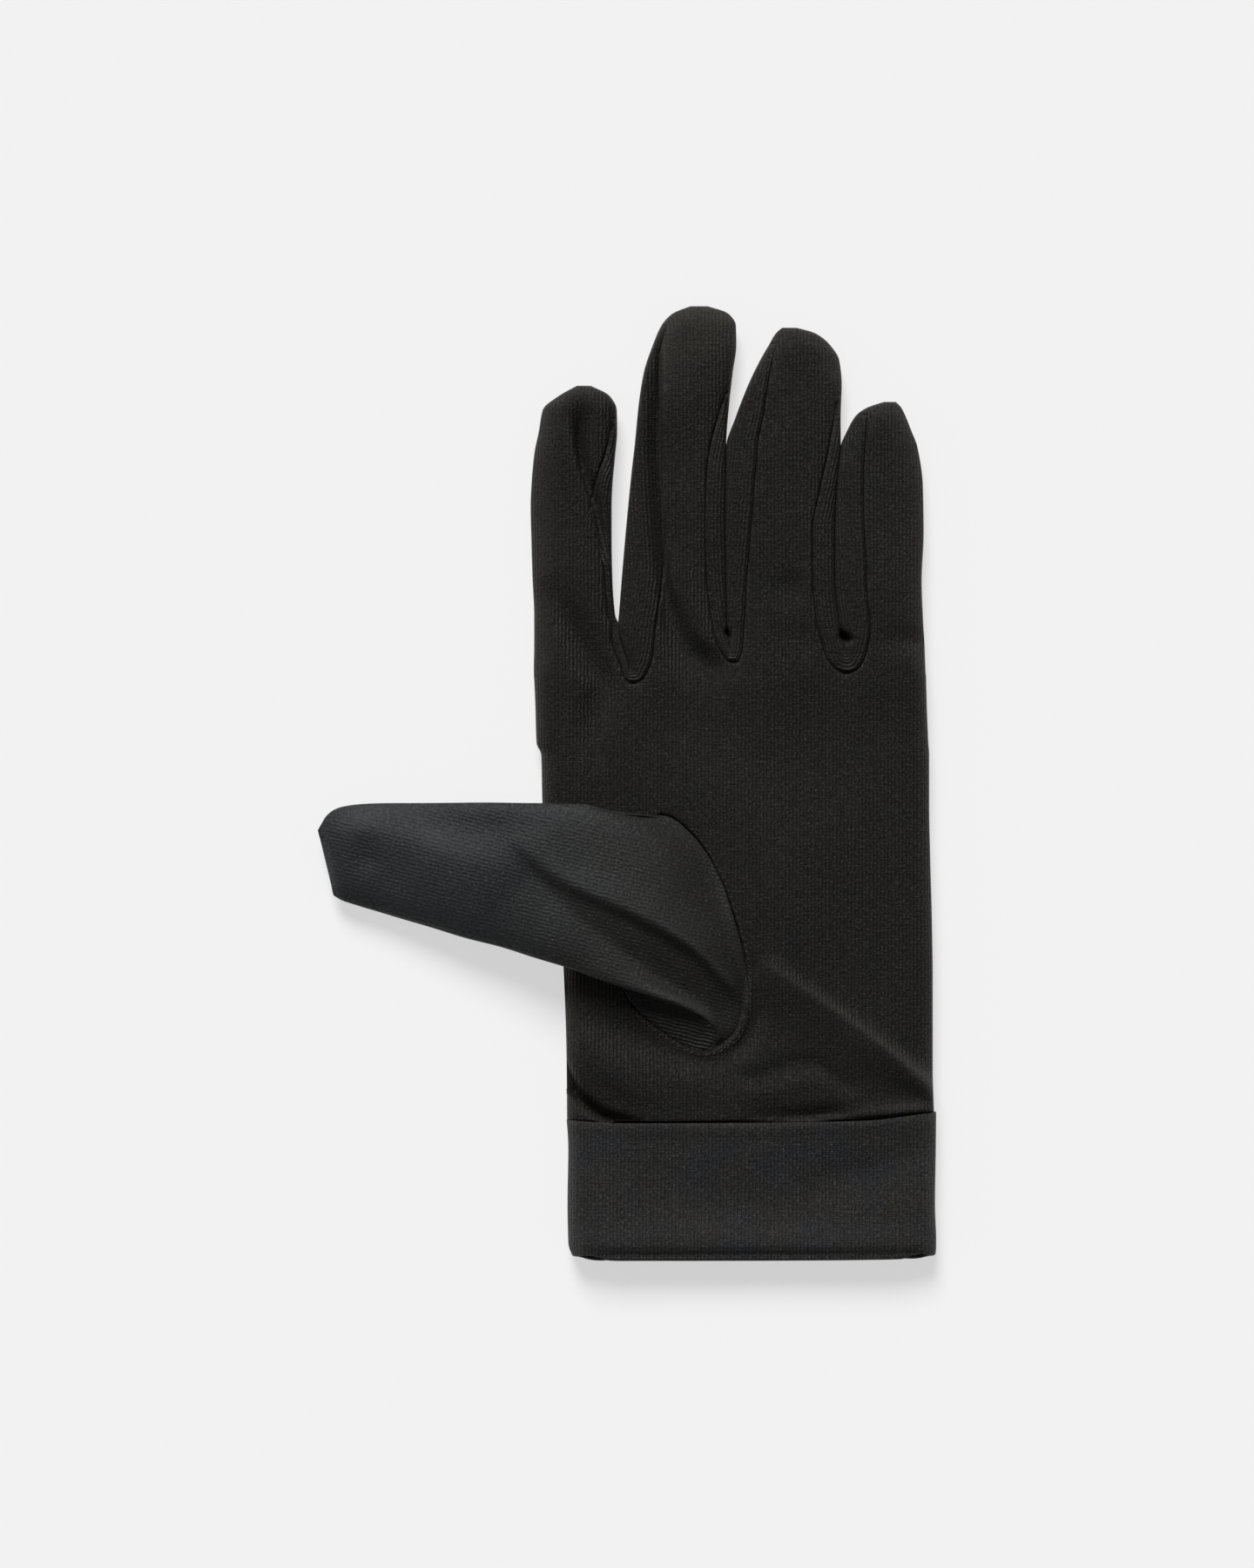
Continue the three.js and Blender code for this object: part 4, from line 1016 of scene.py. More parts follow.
def knit_group():
    """Brushed rib knit: fine ribs along the cloth with painted shade in their grooves, uneven stitches on
    them, and loose fibres.
    """
    group = bpy.data.node_groups.new("rib_knit", "ShaderNodeTree")
    group.interface.new_socket("Cloth", in_out="INPUT", socket_type="NodeSocketVector")
    for name in ("Rib Depth", "Crinkle"):
        group.interface.new_socket(name, in_out="INPUT", socket_type="NodeSocketFloat")
    for name in ("Shade", "Height", "Tint", "Lint"):
        group.interface.new_socket(name, in_out="OUTPUT", socket_type="NodeSocketFloat")
    given = group.nodes.new("NodeGroupInput").outputs
    cloth = {0: given["Cloth"], "Scale": CLOTH_SCALE}
    millimetres = add_node(group, "VectorMath", cloth, operation="SCALE").outputs[0]

    def calc(operation, *values, clamp=False):
        inputs = dict(enumerate(values))
        return add_node(group, "Math", inputs, operation=operation, use_clamp=clamp).outputs[0]

    def noise(scale, detail):
        inputs = {"Vector": millimetres, "Scale": scale, "Detail": detail}
        return add_node(group, "TexNoise", inputs).outputs["Fac"]

    def spots(kind, least):
        return calc("MULTIPLY", calc("SUBTRACT", noise(*kind), least), LINT_CUT, clamp=True)

    place = add_node(group, "SeparateXYZ", {0: millimetres}).outputs
    wander = calc("MULTIPLY_ADD", noise(*WANDER_NOISE), *WANDER)
    across = calc("DIVIDE", calc("ADD", place["X"], wander), WALE)
    along = calc("DIVIDE", place["Y"], COURSE)
    rib = calc("MULTIPLY_ADD", calc("COSINE", calc("MULTIPLY", across, 2 * math.pi)), 0.5, 0.5)
    chevron = calc("ADD", along, calc("PINGPONG", across, 0.5))
    loop = calc("MULTIPLY_ADD", calc("SINE", calc("MULTIPLY", chevron, 2 * math.pi)), 0.5, 0.5)

    # Each stitch has its own tightness
    own = {"X": calc("ROUND", across), "Y": calc("FLOOR", chevron)}
    own = {"Vector": add_node(group, "CombineXYZ", own).outputs[0]}
    uneven = add_node(group, "TexWhiteNoise", own, noise_dimensions="2D").outputs["Value"]
    # The rib's profile makes the colour darker in each groove as painted shade, by each stitch's own amount
    stitch = calc("MULTIPLY", rib, calc("MULTIPLY_ADD", uneven, *STITCH_TONE))

    crinkle = calc("MULTIPLY", calc("SUBTRACT", noise(*CRINKLE_NOISE), 0.5), given["Crinkle"])
    fibres = noise(*FIBRE_NOISE)
    patchy = calc("MULTIPLY_ADD", noise(*PATCH_NOISE), *PATCH_TONE)
    shade = calc("MULTIPLY_ADD", stitch, calc("MULTIPLY", given["Rib Depth"], RIB_SHADE), patchy)
    shade = calc("ADD", fibres, calc("ADD", crinkle, shade))
    shade = calc("MULTIPLY_ADD", spots(SPECK_NOISE, SPECKS_FROM), SPECK_TONE, shade)
    height = calc("MULTIPLY", rib, given["Rib Depth"])
    height = calc("MULTIPLY", height, calc("MULTIPLY_ADD", loop, *LOOP_DEPTH))
    height = calc("MULTIPLY_ADD", crinkle, CRINKLE_DEPTH, height)
    fill(group.nodes.new("NodeGroupOutput"), {
        "Shade": calc("SUBTRACT", shade, DARKEST, clamp=True),
        "Height": calc("MULTIPLY_ADD", fibres, FIBRE_DEPTH, height),
        "Tint": calc("MULTIPLY_ADD", noise(*TINT_NOISE), *TINT_TONE, clamp=True),
        "Lint": spots(LINT_NOISE, LINT_FROM),
    })
    return group


RIB_KNIT = knit_group()
HIGHLIGHT_GAIN = 2.8  # how much paler than its fibres the knit is painted in its highlights, and at its lint
ROUGH_DARK = 0.68  # roughness in the knit's grooves, and on its fibres
ROUGH_LIGHT = 0.54
SHEEN = 0.03
BUMP_DEPTH = 0.3 * MM


def knit_material(name, dark, light, cast, gloss_tint, gloss, rib_depth, crinkle, warm=None):
    """dark and light are the knit's grooves, with their painted shade, and its fibres, cast the colour that
    it has in patches, and warm where along the cloth in mm, and how much, it turns warmer."""
    material = bpy.data.materials.new(name)
    material.use_nodes = True
    tree = material.node_tree

    def blend(share, one, other, kind="MIX"):
        inputs = {"Factor": share, "A": one, "B": (*other, 1.0)}
        return add_node(tree, "Mix", inputs, data_type="RGBA", blend_type=kind).outputs["Result"]

    place = add_node(tree, "UVMap", uv_map="cloth").outputs["UV"]
    knit = {"Rib Depth": rib_depth, "Crinkle": crinkle, "Cloth": place}
    knit = add_node(tree, "Group", knit, node_tree=RIB_KNIT).outputs
    colour = blend(knit["Shade"], (*dark, 1.0), light)
    colour = blend(knit["Tint"], colour, cast, "MULTIPLY")
    if warm:
        ends = {"From Min": warm["from"] / CLOTH_SCALE, "From Max": warm["to"] / CLOTH_SCALE}
        along = add_node(tree, "SeparateXYZ", {0: place}).outputs["Y"]
        along = add_node(tree, "MapRange", {"Value": along, **ends}).outputs["Result"]
        colour = blend(along, colour, warm["colour"], "MULTIPLY")
    # Painted highlight: the base colour turns paler where the mesh's highlight mask says the light falls,
    # and at specks of lint
    pull = add_node(tree, "Attribute", attribute_name="pull").outputs["Fac"]
    highlight_and_lint = add_node(tree, "Math", {0: pull, 1: knit["Lint"]}, operation="MAXIMUM").outputs[0]
    rough = {"Value": knit["Shade"], "To Min": ROUGH_DARK, "To Max": ROUGH_LIGHT}
    bump = {"Strength": 1.0, "Distance": BUMP_DEPTH, "Height": knit["Height"]}
    fill(tree.nodes["Principled BSDF"], {
        "Base Color": blend(highlight_and_lint, colour, [c * HIGHLIGHT_GAIN for c in light]),
        "Roughness": add_node(tree, "MapRange", rough).outputs["Result"],
        "Normal": add_node(tree, "Bump", bump).outputs["Normal"],
        "Sheen Weight": SHEEN,
        "Sheen Roughness": 0.5,
        "Sheen Tint": (*gloss_tint, 1.0),
        "Specular IOR Level": gloss,
        "Specular Tint": (*gloss_tint, 1.0),
    })
    return material


hand_knit = knit_material("hand_knit", **HAND_KNIT)
hand_skin = build_hand()

palm = panel_piece(hand_skin, "palm", "palm_cloth", CLOTH, hand_knit, highlights=HAND_HIGHLIGHTS)
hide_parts("palm_panel")
back = panel_piece(hand_skin, "back", "back_cloth", CLOTH, hand_knit)
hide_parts("back_panel")
for crotch in CROTCHES:
    strip = panel_piece(hand_skin, crotch["node"], crotch["node"] + "_cloth", CLOTH, hand_knit)
    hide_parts(crotch["node"])

# Thumb
# A flattened tube of the same knit, sewn round the oval hole in the palm and laid out to the side.
# Its knit is coloured paler and cooler than the hand's as painted sheen, and its back panel darker as
# painted shade. Where it bends over, its slack cloth falls into a long valley and a hook.
THUMB_HEIGHT = 9.0
THUMB_COLUMNS = 60
ELBOW_ROWS = 58
TUBE_ROWS = 104
# The thumb's knit, coloured paler and cooler than the hand's: painted sheen of ribs that run across the
# light
THUMB_SHEEN_KNIT = {
    "dark": (0.0035, 0.0036, 0.0038), "light": (0.0152, 0.0156, 0.0165),
    "cast": (0.95, 0.96, 1.14), "gloss_tint": (0.95, 0.975, 1.0), "gloss": 0.3,
    "rib_depth": 0.25, "crinkle": 3.0, "warm": {"from": -32, "to": 12, "colour": (1.1, 1.0, 0.7)},
}
# A darker copy of the thumb's knit for its back panel: painted shade, where that panel lies in the shadow of
# the tube's edge
SHADED_UNDER_KNIT = {
    "dark": (0.0028, 0.0028, 0.0027), "light": (0.0135, 0.0133, 0.013), "cast": (0.9, 1.0, 1.1),
    "gloss_tint": (1.0, 0.98, 0.95), "gloss": 0.26, "rib_depth": 0.8, "crinkle": 3.6,
}
THUMB_RIB_TILT = math.radians(-14)

THUMB_SECTIONS = table("row upper_x upper_y lower_x lower_y under share",
    (0, -10, -4.9, -7.5, -49.4, 8.7, 1), (1, -18, -4.7, -15, -46.6, 8.5, 1),
    (2, -27, -4.6, -23.5, -44.1, 7.2, 1), (3, -36, -4.5, -32, -41.5, 5.4, 1),
    (4, -45, -4.6, -41, -39.3, 3.6, 1), (5, -54, -4.7, -50, -36.6, 1.8, 1),
    (6, -62, -4.8, -58, -34.3, 0.5, 1), (7, -68.5, -5.1, -64, -32.5, 0, 0.97),
    (8, -73.6, -6, -69, -31, 0, 0.85), (9, -76.6, -7.9, -72.6, -29.8, 0, 0.58),
    (10, -78.9, -11.8, -74.9, -28.4, 0, 0),
)
# How the cloth leaves the oval, for each share of the way round it from its upper end: two
# points that draw its curve on the way to the first section of the tube
ELBOW = table("round x1 y1 z1 x2 y2 z2",
    (0, 5, -7.6, 9.5, -3, -6.9, 13.5), (0.073, 13.5, -13.2, 10.2, 2, -10.8, 17),
    (0.16, 19.5, -23.8, 10.4, 7, -20, 18.2), (0.248, 23.5, -35, 10.6, 10, -30.5, 18.6),
    (0.327, 26, -45, 10.8, 12, -39, 18.6), (0.398, 28.5, -54, 11, 12, -47, 18.2),
    (0.456, 31, -60, 10.5, 12, -53, 16.4), (0.5, 31, -61, 10, 10, -55.5, 14),
    (0.52, 27, -62, 8.8, 9, -53.5, 11.6), (0.545, 18, -61, 8.9, 7, -51, 10.2),
    (0.577, 9, -57.5, 9.4, 2, -49, 9.4), (0.654, -0.5, -53, 9.8, -4, -47, 9.5),
    (0.735, -3.5, -43.5, 10.3, -6, -38, 9.7), (0.823, -3, -30.5, 10.5, -6, -26, 9.7),
    (0.92, 0, -16.5, 10.8, -5, -13, 10.8), (1, 5, -7.6, 9.5, -3, -6.9, 13.5),
)
THUMB_FOLDS = {
    "long ridge": fold(
        (-30, -13, 0, 5, 1.6), (-26.5, -16, 0.6, 5, 1.4), (-18.5, -23, 1.2, 5, 1.4),
        (-9.9, -27.4, 1.7, 5, 1.4), (-1.2, -31, 2.1, 5.5, 1.5), (10.3, -37, 2.5, 6, 1.7),
        (19, -42.8, 2.4, 6, 1.8), (24.8, -49.6, 1.8, 4, 1.9), (28.4, -54, 0.6, 2.5, 2),
    ),
    "long valley": fold(
        (-26, -20, 0, 2, 3), (-20, -26.5, -0.8, 2.6, 4), (-12.8, -33, -1.6, 4.5, 5),
        (-4, -40, -2.6, 6.5, 5), (4, -46, -3.8, 7.5, 4.2), (12, -51.6, -5.4, 8, 2.6),
        (18, -55.6, -6.2, 8, 1.9), (23, -60, -6, 7, 1.6), (25, -64.5, -4.2, 5, 1.5),
        (22.5, -68.5, -1.5, 3, 1.5), power=1.4,
    ),
    "edge ridge": fold(
        (-26, -44.2, 0, 3, 1.6), (-15.7, -47, 0.6, 2.6, 1.5), (-7, -49.6, 1, 2.6, 1.5),
        (4.6, -52.8, 1.4, 2.2, 1.4), (13.2, -55.2, 1.6, 1.9, 1.4), (19, -58, 1.5, 1.6, 1.4),
        (21.6, -60.8, 1.1, 1.4, 1.4), (21, -63.5, 0, 1.4, 1.4),
    ),
    "tip hollow": fold((-66.4, -15.6, -0.9, 3.4, 3.4), (-66, -18.6, -0.9, 3.4, 3.4)),
    "upper hollow": fold(
        (-53, -8.6, 0, 3, 3), (-44, -9.8, -0.7, 3.4, 4), (-36, -10.8, -0.9, 3.4, 4),
        (-29, -10.6, -0.7, 3.4, 4), (-18, -9, 0, 3, 3),
    ),
    "broad swell": fold(
        (-70, -12, 0.3, 4.4, 8), (-62, -13.2, 0.9, 5, 10), (-53, -15.2, 1.2, 5.2, 13),
        (-44.6, -19.4, 1.2, 5.2, 13), (-34, -21.4, 0.9, 4.8, 10), (-27, -23, 0, 4, 5),
    ),
    "root band": fold(
        (6, -9, 0, 2.5, 3.5), (13.5, -14, -0.8, 2.6, 4), (20, -23, -1.1, 2.8, 4.4),
        (24, -33.5, -0.9, 2.8, 4), (26.6, -43, -0.5, 2.5, 3), (28, -49, 0, 2, 2),
    ),
}
# Painted highlights on the thumb: its lower face, its swell and its two ridges, made paler where the light
# falls
THUMB_HIGHLIGHTS = {
    "lower face": highlight_line(
        (-74, -22, 0.12, 7), (-60, -26, 0.11, 8), (-40, -31, 0.05, 8), (-18, -38, 0.02, 6),
        (-6, -43, 0, 4),
    ),
    "swell": highlight_line(
        (-74, -8, 0.05, 3), (-67, -9, 0.3, 4.6), (-60, -10.2, 0.16, 4.6), (-56, -11.4, 0.16, 4.6),
        (-49, -14, 0.28, 4.6), (-38, -16.8, 0.08, 3.2), (-32, -18, 0, 3),
    ),
    "long ridge": highlight_line(
        (-26, -15, 0, 0.8), (-9.9, -26.2, 0.2, 0.9), (10.3, -35.8, 0.25, 0.9), (24.8, -48.2, 0.3, 0.9),
        (28.4, -53, 0, 0.8),
    ),
    "edge ridge": highlight_line(
        (-20, -45.4, 0, 0.8), (-7, -49, 0.2, 0.9), (13.2, -54.6, 0.3, 0.9), (20.4, -58.4, 0.3, 0.9),
        (21.4, -62, 0, 0.8),
    ),
}


EDGE_CROWDING = 0.85  # how far points crowd towards the tube's two edges
TUBE_FLATNESS = 3  # the higher, the flatter the tube is between them


def tube_ring(row, round_share):
    """Points of the thumb's tube. row may lie between two sections, and round_share goes down the
    front from the upper edge and back up behind."""
    across = np.where(round_share <= 0.5, 2 * round_share, 2 - 2 * round_share)
    eased = mix(across, (1 - np.cos(math.pi * across)) / 2, EDGE_CROWDING)
    at = {name: through(THUMB_SECTIONS, "row", name, row) for name in THUMB_SECTIONS}
    x = mix(at["upper_x"], at["lower_x"], eased)
    y = mix(at["upper_y"], at["lower_y"], eased)
    dome = np.sqrt(np.maximum(0, 1 - np.abs(2 * eased - 1) ** TUBE_FLATNESS)) * at["share"]
    face = np.where(round_share <= 0.5, at["under"] + THUMB_HEIGHT, at["under"])
    return stacked(x, y, mix(at["under"] + THUMB_HEIGHT / 2, face, dome))


THUMB_SINK = 0.15  # by which the thumb's edge lies below the palm's at their seam
ELBOW_LENGTH = 40  # roughly, from the seam to the first section of the tube


def thumb_points():
    half = between(0.0, 0.5, THUMB_COLUMNS, near=(0.0, 0.002, 0.0045, 0.008, 0.012))
    round_share = np.concatenate([half, 0.5 + half[1:]])
    oval = np.concatenate([OVAL_LINE, OVAL_LINE[:1]])
    at = np.linspace(0, 1, len(oval))
    start = stacked(*(np.interp(round_share, at, part) for part in oval.T), HAND_HEIGHT)
    start[..., 2] = settled(start)[..., 2] - THUMB_SINK
    one, other = (
        stacked(*(through(ELBOW, "round", axis + n, round_share) for axis in "xyz")) for n in "12"
    )
    end = tube_ring(np.zeros(1), round_share)
    near = np.array(SEAM_STEPS) / ELBOW_LENGTH
    t = np.concatenate([near, np.linspace(near[-1], 1, ELBOW_ROWS - len(near) + 1)[1:]])[:, None, None]
    elbow = (1 - t) ** 3 * start + 3 * (1 - t) ** 2 * t * one + 3 * (1 - t) * t * t * other + t**3 * end
    last = THUMB_SECTIONS["row"][-1]
    share = np.linspace(0, 1, TUBE_ROWS + 1)[1:, None]
    rows = last * mix(share, 1 - (1 - share) ** 2, smooth(0.5, 1.0, share))
    tube = tube_ring(rows, round_share[None, :])
    return np.concatenate([elbow, tube]), round_share


SEAM_FADE_ROWS = 8  # rows over which the thumb's folds fade out at its seam, and at its tip
TIP_FADE_ROWS = 14
EDGE_FOLD_SHARE = 0.25  # share of a fold's height that is left at the tube's edges
BEHIND = 0.53  # share of the way round the tube at which its folds are gone
THUMB_SLACK = 0.7  # height of its slack waves and how close they are, as shares of the hand's
THUMB_SLACK_SCALE = 1.7
THUMB_SLACK_SHIFT = 40


def thumb_settled(points, round_share):
    """The folds of the thumb's upper side. They fade out at the oval's seam and under the tube."""
    x, y, z = points[..., 0], points[..., 1], points[..., 2]
    rows = np.arange(len(points))[:, None]
    from_seam = smooth(0, SEAM_FADE_ROWS, rows)
    is_front = 1 - smooth(0.5, BEHIND, np.broadcast_to(round_share, x.shape))
    fade = from_seam * is_front
    from_tip = smooth(0, TIP_FADE_ROWS, len(points) - 1 - rows)
    waves = THUMB_SLACK * slack(THUMB_SLACK_SCALE * x, THUMB_SLACK_SCALE * y + THUMB_SLACK_SHIFT)
    shift = fold_height(THUMB_FOLDS, x, y) * fade * from_tip + waves * fade * from_tip
    edge = np.sqrt(np.clip(np.sin(math.pi * np.clip(2 * round_share, 0, 1)), 0, 1))
    return stacked(x, y, z + shift * mix(EDGE_FOLD_SHARE, 1.0, edge))


thumb_knit = knit_material("thumb_knit", **THUMB_SHEEN_KNIT)
thumb_shaded_knit = knit_material("thumb_shaded_knit", **SHADED_UNDER_KNIT)
thumb_flat, thumb_round = thumb_points()
thumb_grid = thumb_settled(thumb_flat, thumb_round)
tilt_x, tilt_y = math.cos(THUMB_RIB_TILT), math.sin(THUMB_RIB_TILT)
flat_x, flat_y = thumb_flat[..., 0], thumb_flat[..., 1]
thumb_cloth = stacked(flat_y * tilt_x - flat_x * tilt_y, flat_x * tilt_x + flat_y * tilt_y)
# The seams are shallow where the cloth hooks over at the oval's lower end, and at both tip corners
HOOK = ((27.5, -61), (26, -63.5), (23, -65.5), (20, -66))
HOOK_SHARE = 0.1
thumb_skin = Skin()
thumb_skin.tips = [(-78.9, -11.8, (0.82, -0.57, 0.0)), (-74.9, -28.4, (0.75, 0.66, 0.0))]
thumb_skin.shallow += OVAL_SEAM
thumb_skin.shallow += [(x, y, HOOK_SHARE) for x, y, *_ in (*HOOK, *thumb_skin.tips)]
for side, half in (("front", slice(THUMB_COLUMNS + 1)), ("back", slice(THUMB_COLUMNS, None))):
    thumb_skin.grid(side, thumb_grid[:, half], thumb_cloth[:, half], flip=True)
for side, node, cloth in (
    ("front", "thumb_front_panel", thumb_knit),
    ("back", "thumb_back_panel", thumb_shaded_knit),
):
    piece = panel_piece(thumb_skin, side, f"thumb_{side}_cloth", CLOTH, cloth, highlights=THUMB_HIGHLIGHTS)
    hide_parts(node)

# Cuff
# A band of the knit folded double, sewn to the hand at its upper edge and open at the wrist. Its
# fold at the wrist is a soft round edge, a little open at both corners.
CUFF_CLOTH = 1.6
CUFF_HEIGHT = 8.8
CUFF_ROWS = 46
CUFF_FRONT_COLUMNS = 120
CUFF_BACK_COLUMNS = 70
CUFF_TOP_GAP = 0.25
WRIST_END = -112  # the y below which the band's open edge is its fold at the wrist
CUFF_ABOVE_HAND = 0.3  # at their seam
MOUTH_DROP = 0.3  # by which the wrist edge lies lower than the rest
CUFF_SLACK = 0.6  # height of its slack waves and how close they are, as shares of the hand's
CUFF_SLACK_SCALE = 1.4
CUFF_SLACK_SHIFT = 30
CUFF_KNIT = {
    "dark": (0.0034, 0.0033, 0.0031), "light": (0.0169, 0.0164, 0.0157), "cast": (0.88, 0.96, 1.2),
    "gloss_tint": (1.0, 0.99, 0.95), "gloss": 0.3, "rib_depth": 1.0, "crinkle": 4.2,
}

CUFF = table("y left right",
    (-122.1, -13.2, 78.6), (-117, -15, 78.9), (-107, -15.2, 78.6), (-93, -15, 78.8), (-83, -15.6, 78.9),
)
# The y of the wrist edge across the band, on its front and on its back
CUFF_MOUTH = table("x front back",
    (-16, -120.1, -121.5), (-13.6, -120, -121.9), (-11.4, -120.5, -122), (-9, -121.2, -121.8),
    (-5, -121.3, -121.6), (20, -121.3, -121.5), (60, -121.1, -121.4), (72, -120.9, -121.4),
    (75, -119.9, -121.5), (77.4, -119.5, -121.4), (79, -119.7, -121.1),
)
CUFF_WAVES = {
    "upper hollow": fold(
        (-14, -97, 0, 8, 9), (10, -101, -0.5, 8, 9), (40, -102, -0.6, 9, 9), (65, -99, -0.6, 9, 10),
        (79, -95, -0.3, 8, 10),
    ),
    "seam hollow": fold(
        (79, -91, -0.3, 3, 4), (70, -95, -0.7, 4, 5), (60, -99, -0.8, 5, 5), (48, -102, -0.3, 5, 5),
        (40, -104, 0, 4, 4),
    ),
    "low swell": fold(
        (-12, -118.2, 0.3, 5, 1.4), (-7.7, -118, 0.8, 5, 1.4), (20, -117.6, 1, 7, 1.8),
        (38.6, -117.8, 1, 6.4, 1.6), (70, -118, 0.8, 5.4, 1.4), (77, -117.6, 0.2, 4, 1.4),
    ),
    "hem groove": fold(
        (-12, -117.9, 0, 0.7, 0.5), (-6, -119, -0.4, 0.7, 0.5), (2, -119.4, -0.7, 0.7, 0.5),
        (66, -119.1, -0.7, 0.7, 0.5), (75, -118.4, -0.2, 0.7, 0.5),
    ),
    "seam roll": fold(
        (-15, -87.4, 0.25, 1.6, 1.6), (30, -87.8, 0.35, 1.6, 1.6), (78, -86, 0.3, 1.6, 1.6),
    ),
}
# Painted highlights on the cuff: along its sides, its wrist edge and a low band, made paler where the light
# falls
CUFF_HIGHLIGHTS = {
    "left side": highlight_line((-10, -88, 0.06, 6), (-8, -100, 0.06, 8), (-8, -112, 0.03, 6)),
    "right side": highlight_line((76, -92, 0, 4), (73, -104, 0.06, 5), (72, -114, 0.04, 5)),
    "wrist edge": highlight_line(
        (-12.6, -119, 0.1, 0.7), (-8, -119.6, 0.2, 0.7), (-2, -120.6, 0.15, 0.5), (70, -120.4, 0.15, 0.5),
        (77, -119, 0.1, 0.5),
    ),
    "low band": highlight_line(
        (-10, -115.4, 0.1, 4), (20, -113, 0.14, 5), (38, -114, 0.14, 4.6), (72, -115, 0.1, 4),
    ),
}


def cuff_front(x, y, share):
    """The cuff's upper face. share goes from the wrist edge to the seam with the hand."""
    height = mix(CUFF_HEIGHT, HAND_HEIGHT + CUFF_ABOVE_HAND, share**3) - MOUTH_DROP * (1 - share) ** 6
    z = upper_face(x, *edges(CUFF, y), height, SIDE_ROUND)
    waves = CUFF_SLACK * slack(x + CUFF_SLACK_SHIFT, y * CUFF_SLACK_SCALE)
    return z + fold_height(CUFF_WAVES, x, y) + waves


def cuff_grids():
    share = between(0.0, 1.0, CUFF_ROWS, near=(0.0, 0.004, 0.01, 0.018, 0.028, 0.042))[:, None]

    def line(count, side):
        across = between(0.0, 1.0, count, near=(0.0, 0.01))
        at = mix(CUFF_SEAM["x"][0], CUFF_SEAM["x"][-1], across)
        y = mix(through(CUFF_MOUTH, "x", side, at), seam_y(at) - CUFF_TOP_GAP, share)
        left, right = edges(CUFF, y)
        x = mix(left + SIDE_EDGE, right - SIDE_EDGE, across)
        if side == "back":
            return stacked(x, y, lower_face(x, left, right))
        return stacked(x, y, cuff_front(x, y, share))

    front, back = line(CUFF_FRONT_COLUMNS, "front"), line(CUFF_BACK_COLUMNS, "back")
    skin = Skin()
    skin.shallow += cuff_seam_places()
    skin.grid("cuff", front, front[..., :2])
    skin.grid("cuff", back, back[..., :2], -1)
    for column, sign, name in ((0, -1, "left"), (-1, 1, "right")):
        edge, under = front[:, column], back[:, column]
        middle_y = (edge[:, 1] + under[:, 1]) / 2
        wide = stacked(through(CUFF, "y", name, middle_y), middle_y, MIDDLE_HEIGHT)
        height = edge[:, 2:3]

        def profile(x):
            depth = quarter_round(np.abs(x - wide[:, :1]), SIDE_ROUND)
            return mix(MIDDLE_HEIGHT, height, depth / quarter_round(SIDE_EDGE, SIDE_ROUND))

        upper, lower = side_wall(edge, wide, under, 0.0, profile)
        cloths = wall_cloth(upper, lower, edge[:, 0], sign)
        skin.wall("cuff", (upper, lower), cloths, sign)
    return skin


cuff_knit = knit_material("cuff_knit", **CUFF_KNIT)
cuff = panel_piece(
    cuff_grids(), "cuff", "cuff_cloth", CUFF_CLOTH, cuff_knit,
    is_mouth=lambda p: p[:, 1] < WRIST_END, highlights=CUFF_HIGHLIGHTS,
)
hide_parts("cuff_band")

# Stitches of the seams
# Short loops of grey-black thread. They show as dots on the palm's rim beside the thumb's seam, and
# as a row of finer dots where each rib of the cuff meets the hand.
STITCH_PITCH = 1.8
STITCH_FROM_SEAM = 0.75
STITCH_SLANT = math.radians(32)
STITCH_SHOWN = (0.06, 0.93)  # shares of the way round the oval, the rest is under the thumb
STITCH_SINK = 0.08  # by which a stitch's middle lies below the cloth's face
STITCH_SIZE = {"length": 0.9, "radius": 0.2}
CUFF_STITCH_PITCH = 0.93
CUFF_STITCH_ENDS = (-9.6, 77.0)
CUFF_STITCH_FROM_EDGE = 0.5
CUFF_STITCH_SHARE = 0.985  # of the way up the cuff
CUFF_STITCH_SINK = 0.16
CUFF_STITCH_SIZE = {"length": 0.6, "radius": 0.13}
THREAD_COLOUR = (0.036, 0.034, 0.031)
THREAD_SHADE = 0.4  # of that colour in the thread's grooves
THREAD_TWIST = 3000.0  # how fine its twist is


def thread_material():
    material = bpy.data.materials.new("seam_thread")
    material.use_nodes = True
    tree = material.node_tree
    place = add_node(tree, "TexCoord").outputs["Object"]
    twist = add_node(tree, "TexNoise", {"Vector": place, "Scale": THREAD_TWIST}).outputs["Fac"]
    dark = (*(c * THREAD_SHADE for c in THREAD_COLOUR), 1.0)
    colour = {"Factor": twist, "A": dark, "B": (*THREAD_COLOUR, 1.0)}
    colour = add_node(tree, "Mix", colour, data_type="RGBA").outputs["Result"]
    shine = {"Roughness": 0.6, "Specular IOR Level": 0.3}
    fill(tree.nodes["Principled BSDF"], {"Base Color": colour, **shine})
    return material


SEAM_THREAD = thread_material()


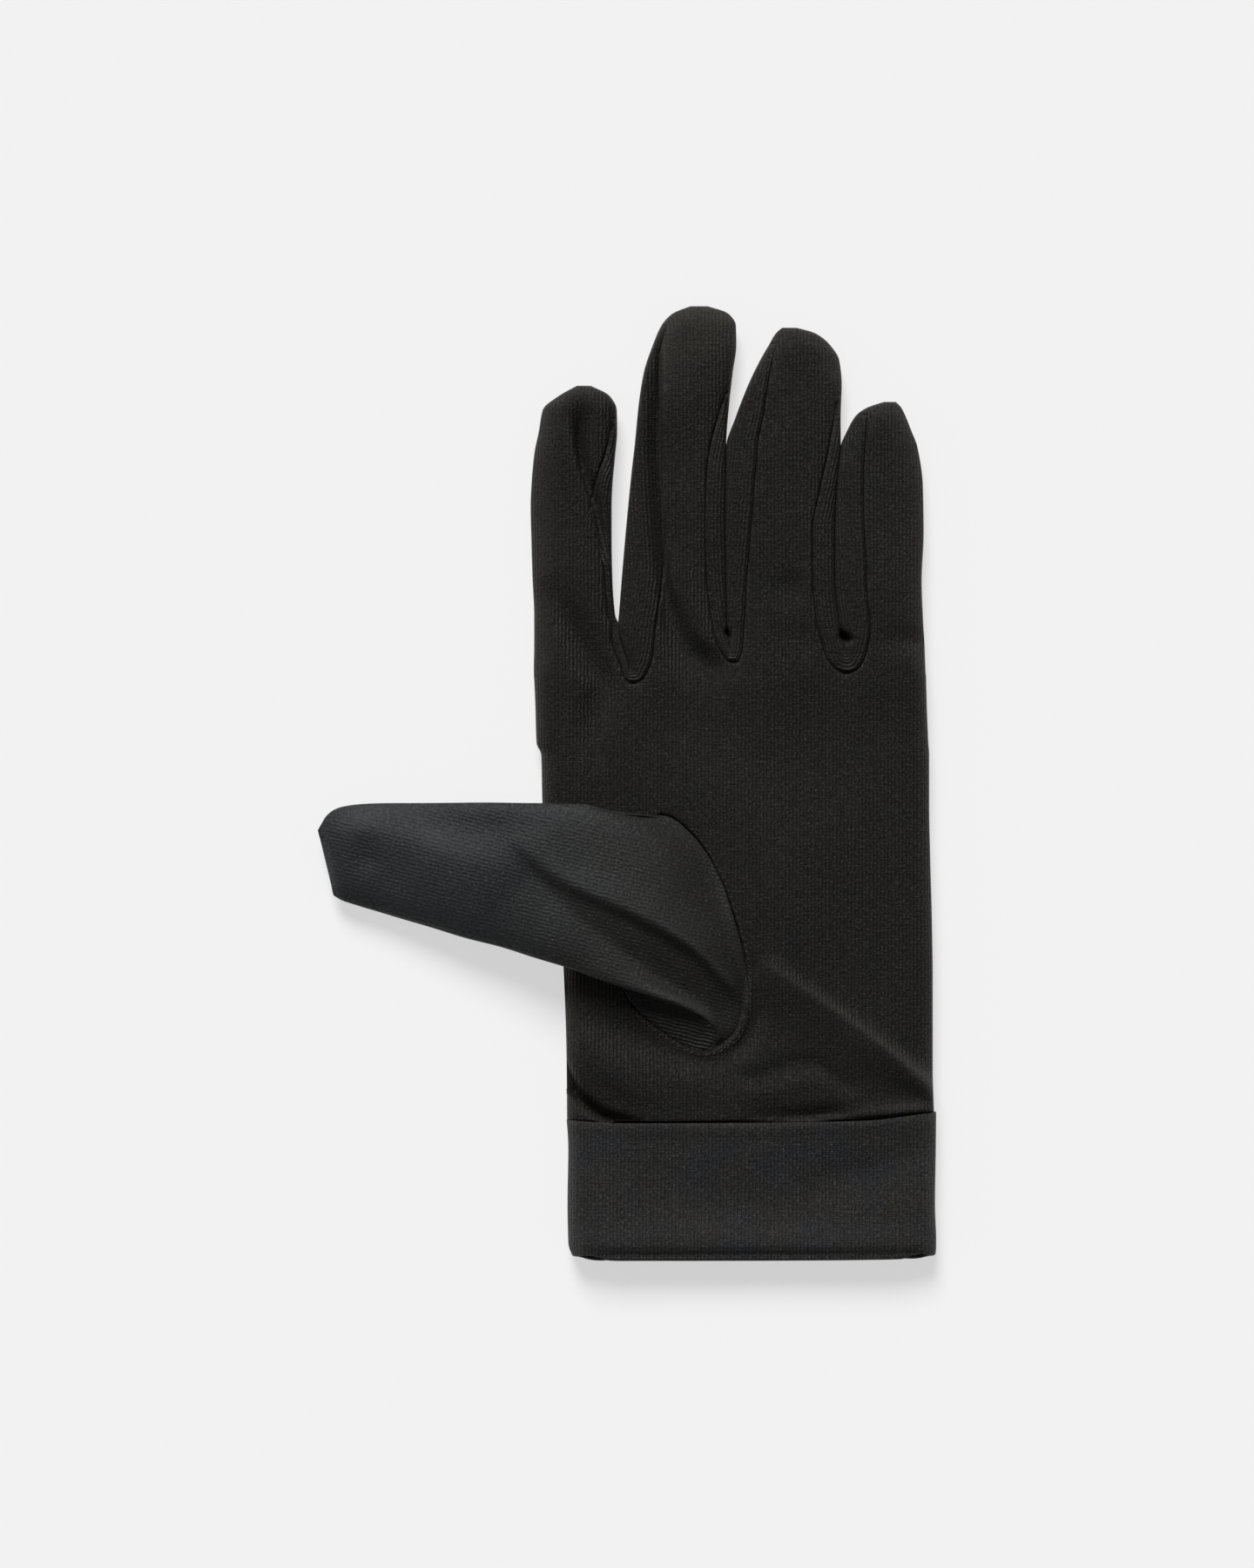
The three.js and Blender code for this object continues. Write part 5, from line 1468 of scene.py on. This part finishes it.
def stitch_piece(name, centres, along, slot, length, radius, sides=8, rings=6):
    """A row of stitches, each a short thread with round ends."""
    along = unit(along)
    up = np.array([0.0, 0.0, 1.0])
    points, faces = [], []
    ring, turn = np.divmod(np.arange((rings + 1) * sides), sides)
    lengthways, round_turn = math.pi * ring / rings, 2 * math.pi * turn / sides
    own = []
    for first in range(0, rings * sides, sides):
        for s in range(sides):
            here, following = first + s, first + (s + 1) % sides
            own.append([here, here + sides, following + sides, following])
    for centre, line, other in zip(centres, along, np.cross(up, along)):
        out = np.outer(np.cos(round_turn), other) + np.outer(np.sin(round_turn), up)
        place = centre - np.outer(np.cos(lengthways), line) * length / 2
        faces += [[v + len(points) for v in face] for face in own]
        points += list(place + out * (radius * np.sin(lengthways))[:, None])
    mesh = bpy.data.meshes.new(name)
    mesh.from_pydata((np.array(points) * MM).tolist(), [], faces)
    piece = finished_piece(name, mesh, SEAM_THREAD)


oval_length = np.hypot(*np.diff(np.concatenate([OVAL_LINE, OVAL_LINE[:1]]), axis=0).T).sum()
stitch_line = evenly(OVAL_LINE, round(oval_length / STITCH_PITCH))
onward, outward = ways(stitch_line)
stitch_at = stitch_line + outward * STITCH_FROM_SEAM
stitch_z = settled(stacked(*stitch_at.T, hand_z(*stitch_at.T, True)))[:, 2] - STITCH_SINK
slanted = onward * math.cos(STITCH_SLANT) + outward * math.sin(STITCH_SLANT)
oval_share = np.arange(len(stitch_line)) / len(stitch_line)
shown = (oval_share > STITCH_SHOWN[0]) & (oval_share < STITCH_SHOWN[1])
centres, slants = stacked(*stitch_at.T, stitch_z)[shown], stacked(*slanted.T, 0.0)[shown]
stitch_piece("thumb_seam_stitches", centres, slants, "hand_knit", **STITCH_SIZE)

dots_x = np.arange(*CUFF_STITCH_ENDS, CUFF_STITCH_PITCH)
dots_y = seam_y(dots_x) - CUFF_TOP_GAP - CUFF_STITCH_FROM_EDGE
dots_z = cuff_front(dots_x, dots_y, np.full(dots_x.shape, CUFF_STITCH_SHARE)) - CUFF_STITCH_SINK
dots, upright = stacked(dots_x, dots_y, dots_z), stacked(0 * dots_x, 1.0, 0.0)
stitch_piece("cuff_seam_stitches", dots, upright, "cuff_knit", **CUFF_STITCH_SIZE)
